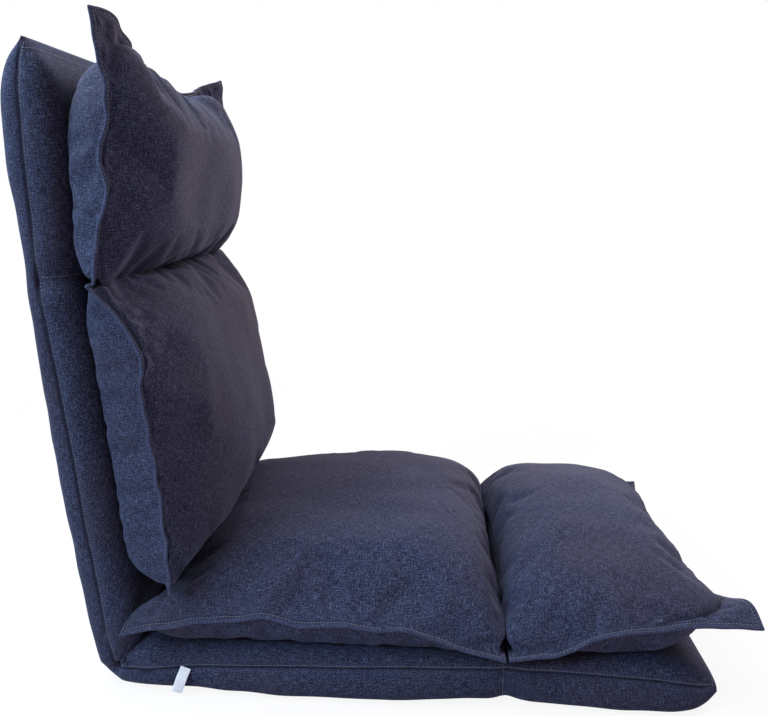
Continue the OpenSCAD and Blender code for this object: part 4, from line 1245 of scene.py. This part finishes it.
def splitPiece(piece, otherName, cut):
    # cuts a cushion into two closed halves; the first keeps what lies before the plane
    takeOnly(piece)
    bpy.ops.object.duplicate()
    other = bpy.context.object
    other.name = other.data.name = otherName
    for part, first in ((piece, True), (other, False)):
        takeOnly(part)
        bpy.ops.object.mode_set(mode="EDIT")
        bpy.ops.mesh.select_mode(type="EDGE")
        bpy.ops.mesh.select_all(action="SELECT")
        bpy.ops.mesh.bisect(plane_co=cut["place"], plane_no=cut["along"], use_fill=True,
                            clear_inner=not first, clear_outer=first)
        bpy.ops.mesh.mark_sharp()
        bpy.ops.object.mode_set(mode="OBJECT")
    return other


seatRearCushion = splitPiece(seatCushion, "seatRearCushion", cuts["seat"])
lumbarHighCushion = splitPiece(lumbarCushion, "lumbarHighCushion", cuts["lumbar"])
print("stage: cushions cut at the joints")


# the folded ribbon tag in the side seam, left blank
ribbon = {
    "topY": 0.1660, "topZ": 0.0372, "bottomY": 0.1775, "bottomZ": 0.0060,
    "x": -0.2510, "hang": 0.0095, "width": 0.0140, "thick": 0.00035, "loop": 0.0008,
}


def satinMaterial(name, pale, dark):
    material, tree, shader = newMaterial(name)
    place = tree.nodes.new("ShaderNodeTexCoord")
    grain = stretchedNoise(tree, place.outputs["Object"], (400, 2600, 400), 2.0)
    cloud = stretchedNoise(tree, place.outputs["Object"], (90, 90, 90), 3.0)
    both = blendValues(tree, grain, cloud, 0.6)
    tree.links.new(ramp(tree, both, [(0.3, dark), (0.62, pale)]), shader.inputs["Base Color"])
    addBump(tree, shader, grain, 0.25, 0.0002)
    shader.inputs["Roughness"].default_value = 0.42
    shader.inputs["Sheen Weight"].default_value = 0.25
    return material


tagSatin = satinMaterial("blankSatin", (0.74, 0.70, 0.70, 1), (0.56, 0.53, 0.55, 1))


def ribbonPiece(name, s):
    columns, rows = 8, 40
    piece, column, row = gridPiece(name, columns, rows)
    across, t = column / columns - 0.5, row / rows
    down = np.minimum(t, 1 - t) * 2                      # 0 at the seam, 1 at the fold
    behind = smoothStep((t - 0.42) / 0.16)
    y = s["topY"] + (s["bottomY"] - s["topY"]) * down
    z = s["topZ"] + (s["bottomZ"] - s["topZ"]) * down
    slant = math.atan2(s["bottomY"] - s["topY"], s["topZ"] - s["bottomZ"])
    y = y + across * s["width"] * math.cos(slant)
    z = z + across * s["width"] * math.sin(slant)
    x = s["x"] - s["hang"] * smoothStep(down * 2.6) - 0.0006 * np.sin(np.pi * across * 1.4 + 0.6) * down
    x = x + behind * s["loop"] * (0.35 + 0.65 * smoothStep(down * 3))
    writeMap(piece, across * s["width"], t * 0.06)
    setCoordinates(piece, np.c_[x, y, z])
    m = piece.modifiers.new("ribbonThickness", "SOLIDIFY")
    m.thickness = s["thick"]
    m.offset = 0
    applyModifiers(piece)
    faceOutward(piece)
    subdivide(piece)
    piece.data.materials.append(tagSatin)
    shadeSmooth(piece, 50)
    return piece


blankTag = ribbonPiece("blankTag", ribbon)
print("stage: side tag")


# what stays of the CAD inside the covers: steel frames, ratchet plates, rivets, springs and webbing
def metalMaterial(name, s):
    material, tree, shader = newMaterial(name)
    place = tree.nodes.new("ShaderNodeTexCoord")
    grain = stretchedNoise(tree, place.outputs["Object"], s["grain"], 3.0)
    cloud = stretchedNoise(tree, place.outputs["Object"], (28, 28, 28), 4.0, 0.6)
    stops = [(0.34, s["dark"]), (0.55, s["middle"]), (0.70, s["pale"])]
    tree.links.new(ramp(tree, blendValues(tree, grain, cloud, 0.5), stops), shader.inputs["Base Color"])
    tree.links.new(rangeOf(tree, cloud, (0, 1), s["rough"]), shader.inputs["Roughness"])
    addBump(tree, shader, grain, s["bump"], 0.0003)
    shader.inputs["Metallic"].default_value = s["metallic"]
    return material


def webbingMaterial(name, s):
    material, tree, shader = newMaterial(name)
    place = tree.nodes.new("ShaderNodeTexCoord")
    bands = []
    for axis in ("X", "Y"):
        wave = tree.nodes.new("ShaderNodeTexWave")
        wave.bands_direction = axis
        wave.inputs["Scale"].default_value = waveCycles / s["pitch"]
        wave.inputs["Distortion"].default_value = 0.4
        tree.links.new(place.outputs["Object"], wave.inputs["Vector"])
        bands.append(wave.outputs["Fac"])
    weave = combine(tree, "MULTIPLY", bands[0], bands[1])
    grain = stretchedNoise(tree, place.outputs["Object"], (700, 700, 700), 2.0)
    both = blendValues(tree, weave, grain, 0.5)
    tree.links.new(ramp(tree, both, [(0.2, s["dark"]), (0.8, s["pale"])]), shader.inputs["Base Color"])
    addBump(tree, shader, weave, 0.5, 0.0006)
    shader.inputs["Roughness"].default_value = 0.85
    return material


innerMaterials = {
    "tube": metalMaterial("blackPowderCoat", {
        "grain": (850, 850, 850), "dark": (0.008, 0.008, 0.009, 1), "middle": (0.014, 0.014, 0.016, 1),
        "pale": (0.030, 0.030, 0.032, 1), "rough": (0.38, 0.60), "bump": 0.35, "metallic": 0.0}),
    "plate": metalMaterial("zincPlatedSteel", {
        "grain": (120, 1500, 1500), "dark": (0.34, 0.35, 0.37, 1), "middle": (0.50, 0.51, 0.53, 1),
        "pale": (0.66, 0.67, 0.68, 1), "rough": (0.26, 0.48), "bump": 0.18, "metallic": 1.0}),
    "wire": metalMaterial("springWire", {
        "grain": (1300, 1300, 1300), "dark": (0.20, 0.20, 0.21, 1), "middle": (0.32, 0.32, 0.33, 1),
        "pale": (0.45, 0.45, 0.46, 1), "rough": (0.30, 0.42), "bump": 0.12, "metallic": 1.0}),
    "strap": webbingMaterial("elasticWebbing", {
        "pitch": 0.0018, "dark": (0.012, 0.012, 0.014, 1), "pale": (0.055, 0.055, 0.062, 1)}),
}
innerKinds = {"frame": "tube", "webbing": "strap", "springs": "wire"}

softNodes = {
    "footSeat": ["foot_cover_top", "foot_cover_base", "foot_fold_sleeve", "foot_foam_top",
                 "foot_foam_base"],
    "seatBack": ["seat_cover_top", "seat_cover_base", "back_fold_sleeve", "seat_foam_top",
                 "seat_foam_base",
                 "back_cover_front", "back_cover_rear", "back_foam_front", "back_foam_rear"],
    "backHead": ["head_cover_front", "head_cover_rear", "head_fold_sleeve", "head_foam_front",
                 "head_foam_rear"],
    "head": ["head_pillow_front", "head_pillow_rear", "head_pillow_filling"],
    "lumbar": ["lumbar_pillow_front", "lumbar_pillow_rear", "lumbar_pillow_filling"],
    "seat": ["seat_pillow_top", "seat_pillow_under", "seat_pillow_filling"],
    "foot": ["foot_pillow_top", "foot_pillow_under", "foot_pillow_filling"],
    "tag": ["side_tag"],
}
covered = [n for group in softNodes.values() for n in group]
for name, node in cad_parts.items():
    if name not in covered:
        kind = innerKinds.get(name.split("_")[-1], "plate")
        for slot in node.material_slots:
            slot.material = innerMaterials[kind]
print("stage: frame, hinges and webbing")


# where each soft piece bends: two bodies, with the line from what follows the first
# to what follows the second
def foldBetween(first, second):
    both = sections[first]["along"] + sections[second]["along"]
    return both / np.linalg.norm(both)


foldOfBack, foldOfHead = foldBetween("seat", "back"), foldBetween("back", "head")
foldOfFoot = sections["foot"]["along"]
reach = {"cover": 0.080, "footPillow": 0.150, "backPillow": 0.160, "headPillow": 0.150}


def bendOver(first, second, hinge, fold, half):
    return first, second, tuple(map(float, hinge - half * fold)), tuple(map(float, hinge + half * fold))


bends = {
    "footCover": bendOver("seat", "foot", footHinge, foldOfFoot, reach["cover"]),
    "backCover": bendOver("seat", "back", backHinge, foldOfBack, reach["cover"]),
    "headCover": bendOver("back", "head", headHinge, foldOfHead, reach["cover"]),
    "foot": bendOver("seat", "foot", footHinge, foldOfFoot, reach["footPillow"]),
    "back": bendOver("seat", "back", backHinge, foldOfBack, reach["backPillow"]),
    "head": bendOver("back", "head", headHinge, foldOfHead, reach["headPillow"]),
}
cushions = [
    (footSeatCover, "footSeatStitches", "footCover", "footSeat", "denim", 0.85),
    (seatBackCover, "seatBackStitches", "backCover", "seatBack", "denim", 0.85),
    (backHeadCover, "backHeadStitches", "headCover", "backHead", "denim_lit", 0.85),
    (headCushion, "headStitches", "head", "head", "pillow_denim", 0.7),
    (lumbarCushion, "lumbarLowStitches", "back", "lumbar", "pillow_denim", 0.7),
    (lumbarHighCushion, "lumbarHighStitches", "head", "lumbar", "pillow_denim", 0.7),
    (seatCushion, "seatFrontStitches", "foot", "seat", "pillow_denim", 0.7),
    (seatRearCushion, "seatRearStitches", "back", "seat", "pillow_denim", 0.7),
    (footCushion, "footStitches", "foot", "foot", "pillow_denim", 0.7),
]
for cloth, thread, bend, nodes, slot, fill in cushions:
    for piece in (cloth, threads[thread]):
        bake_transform(piece, *bends[bend])
    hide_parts(*softNodes[nodes])
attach(blankTag, "seat")
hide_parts(*softNodes["tag"])
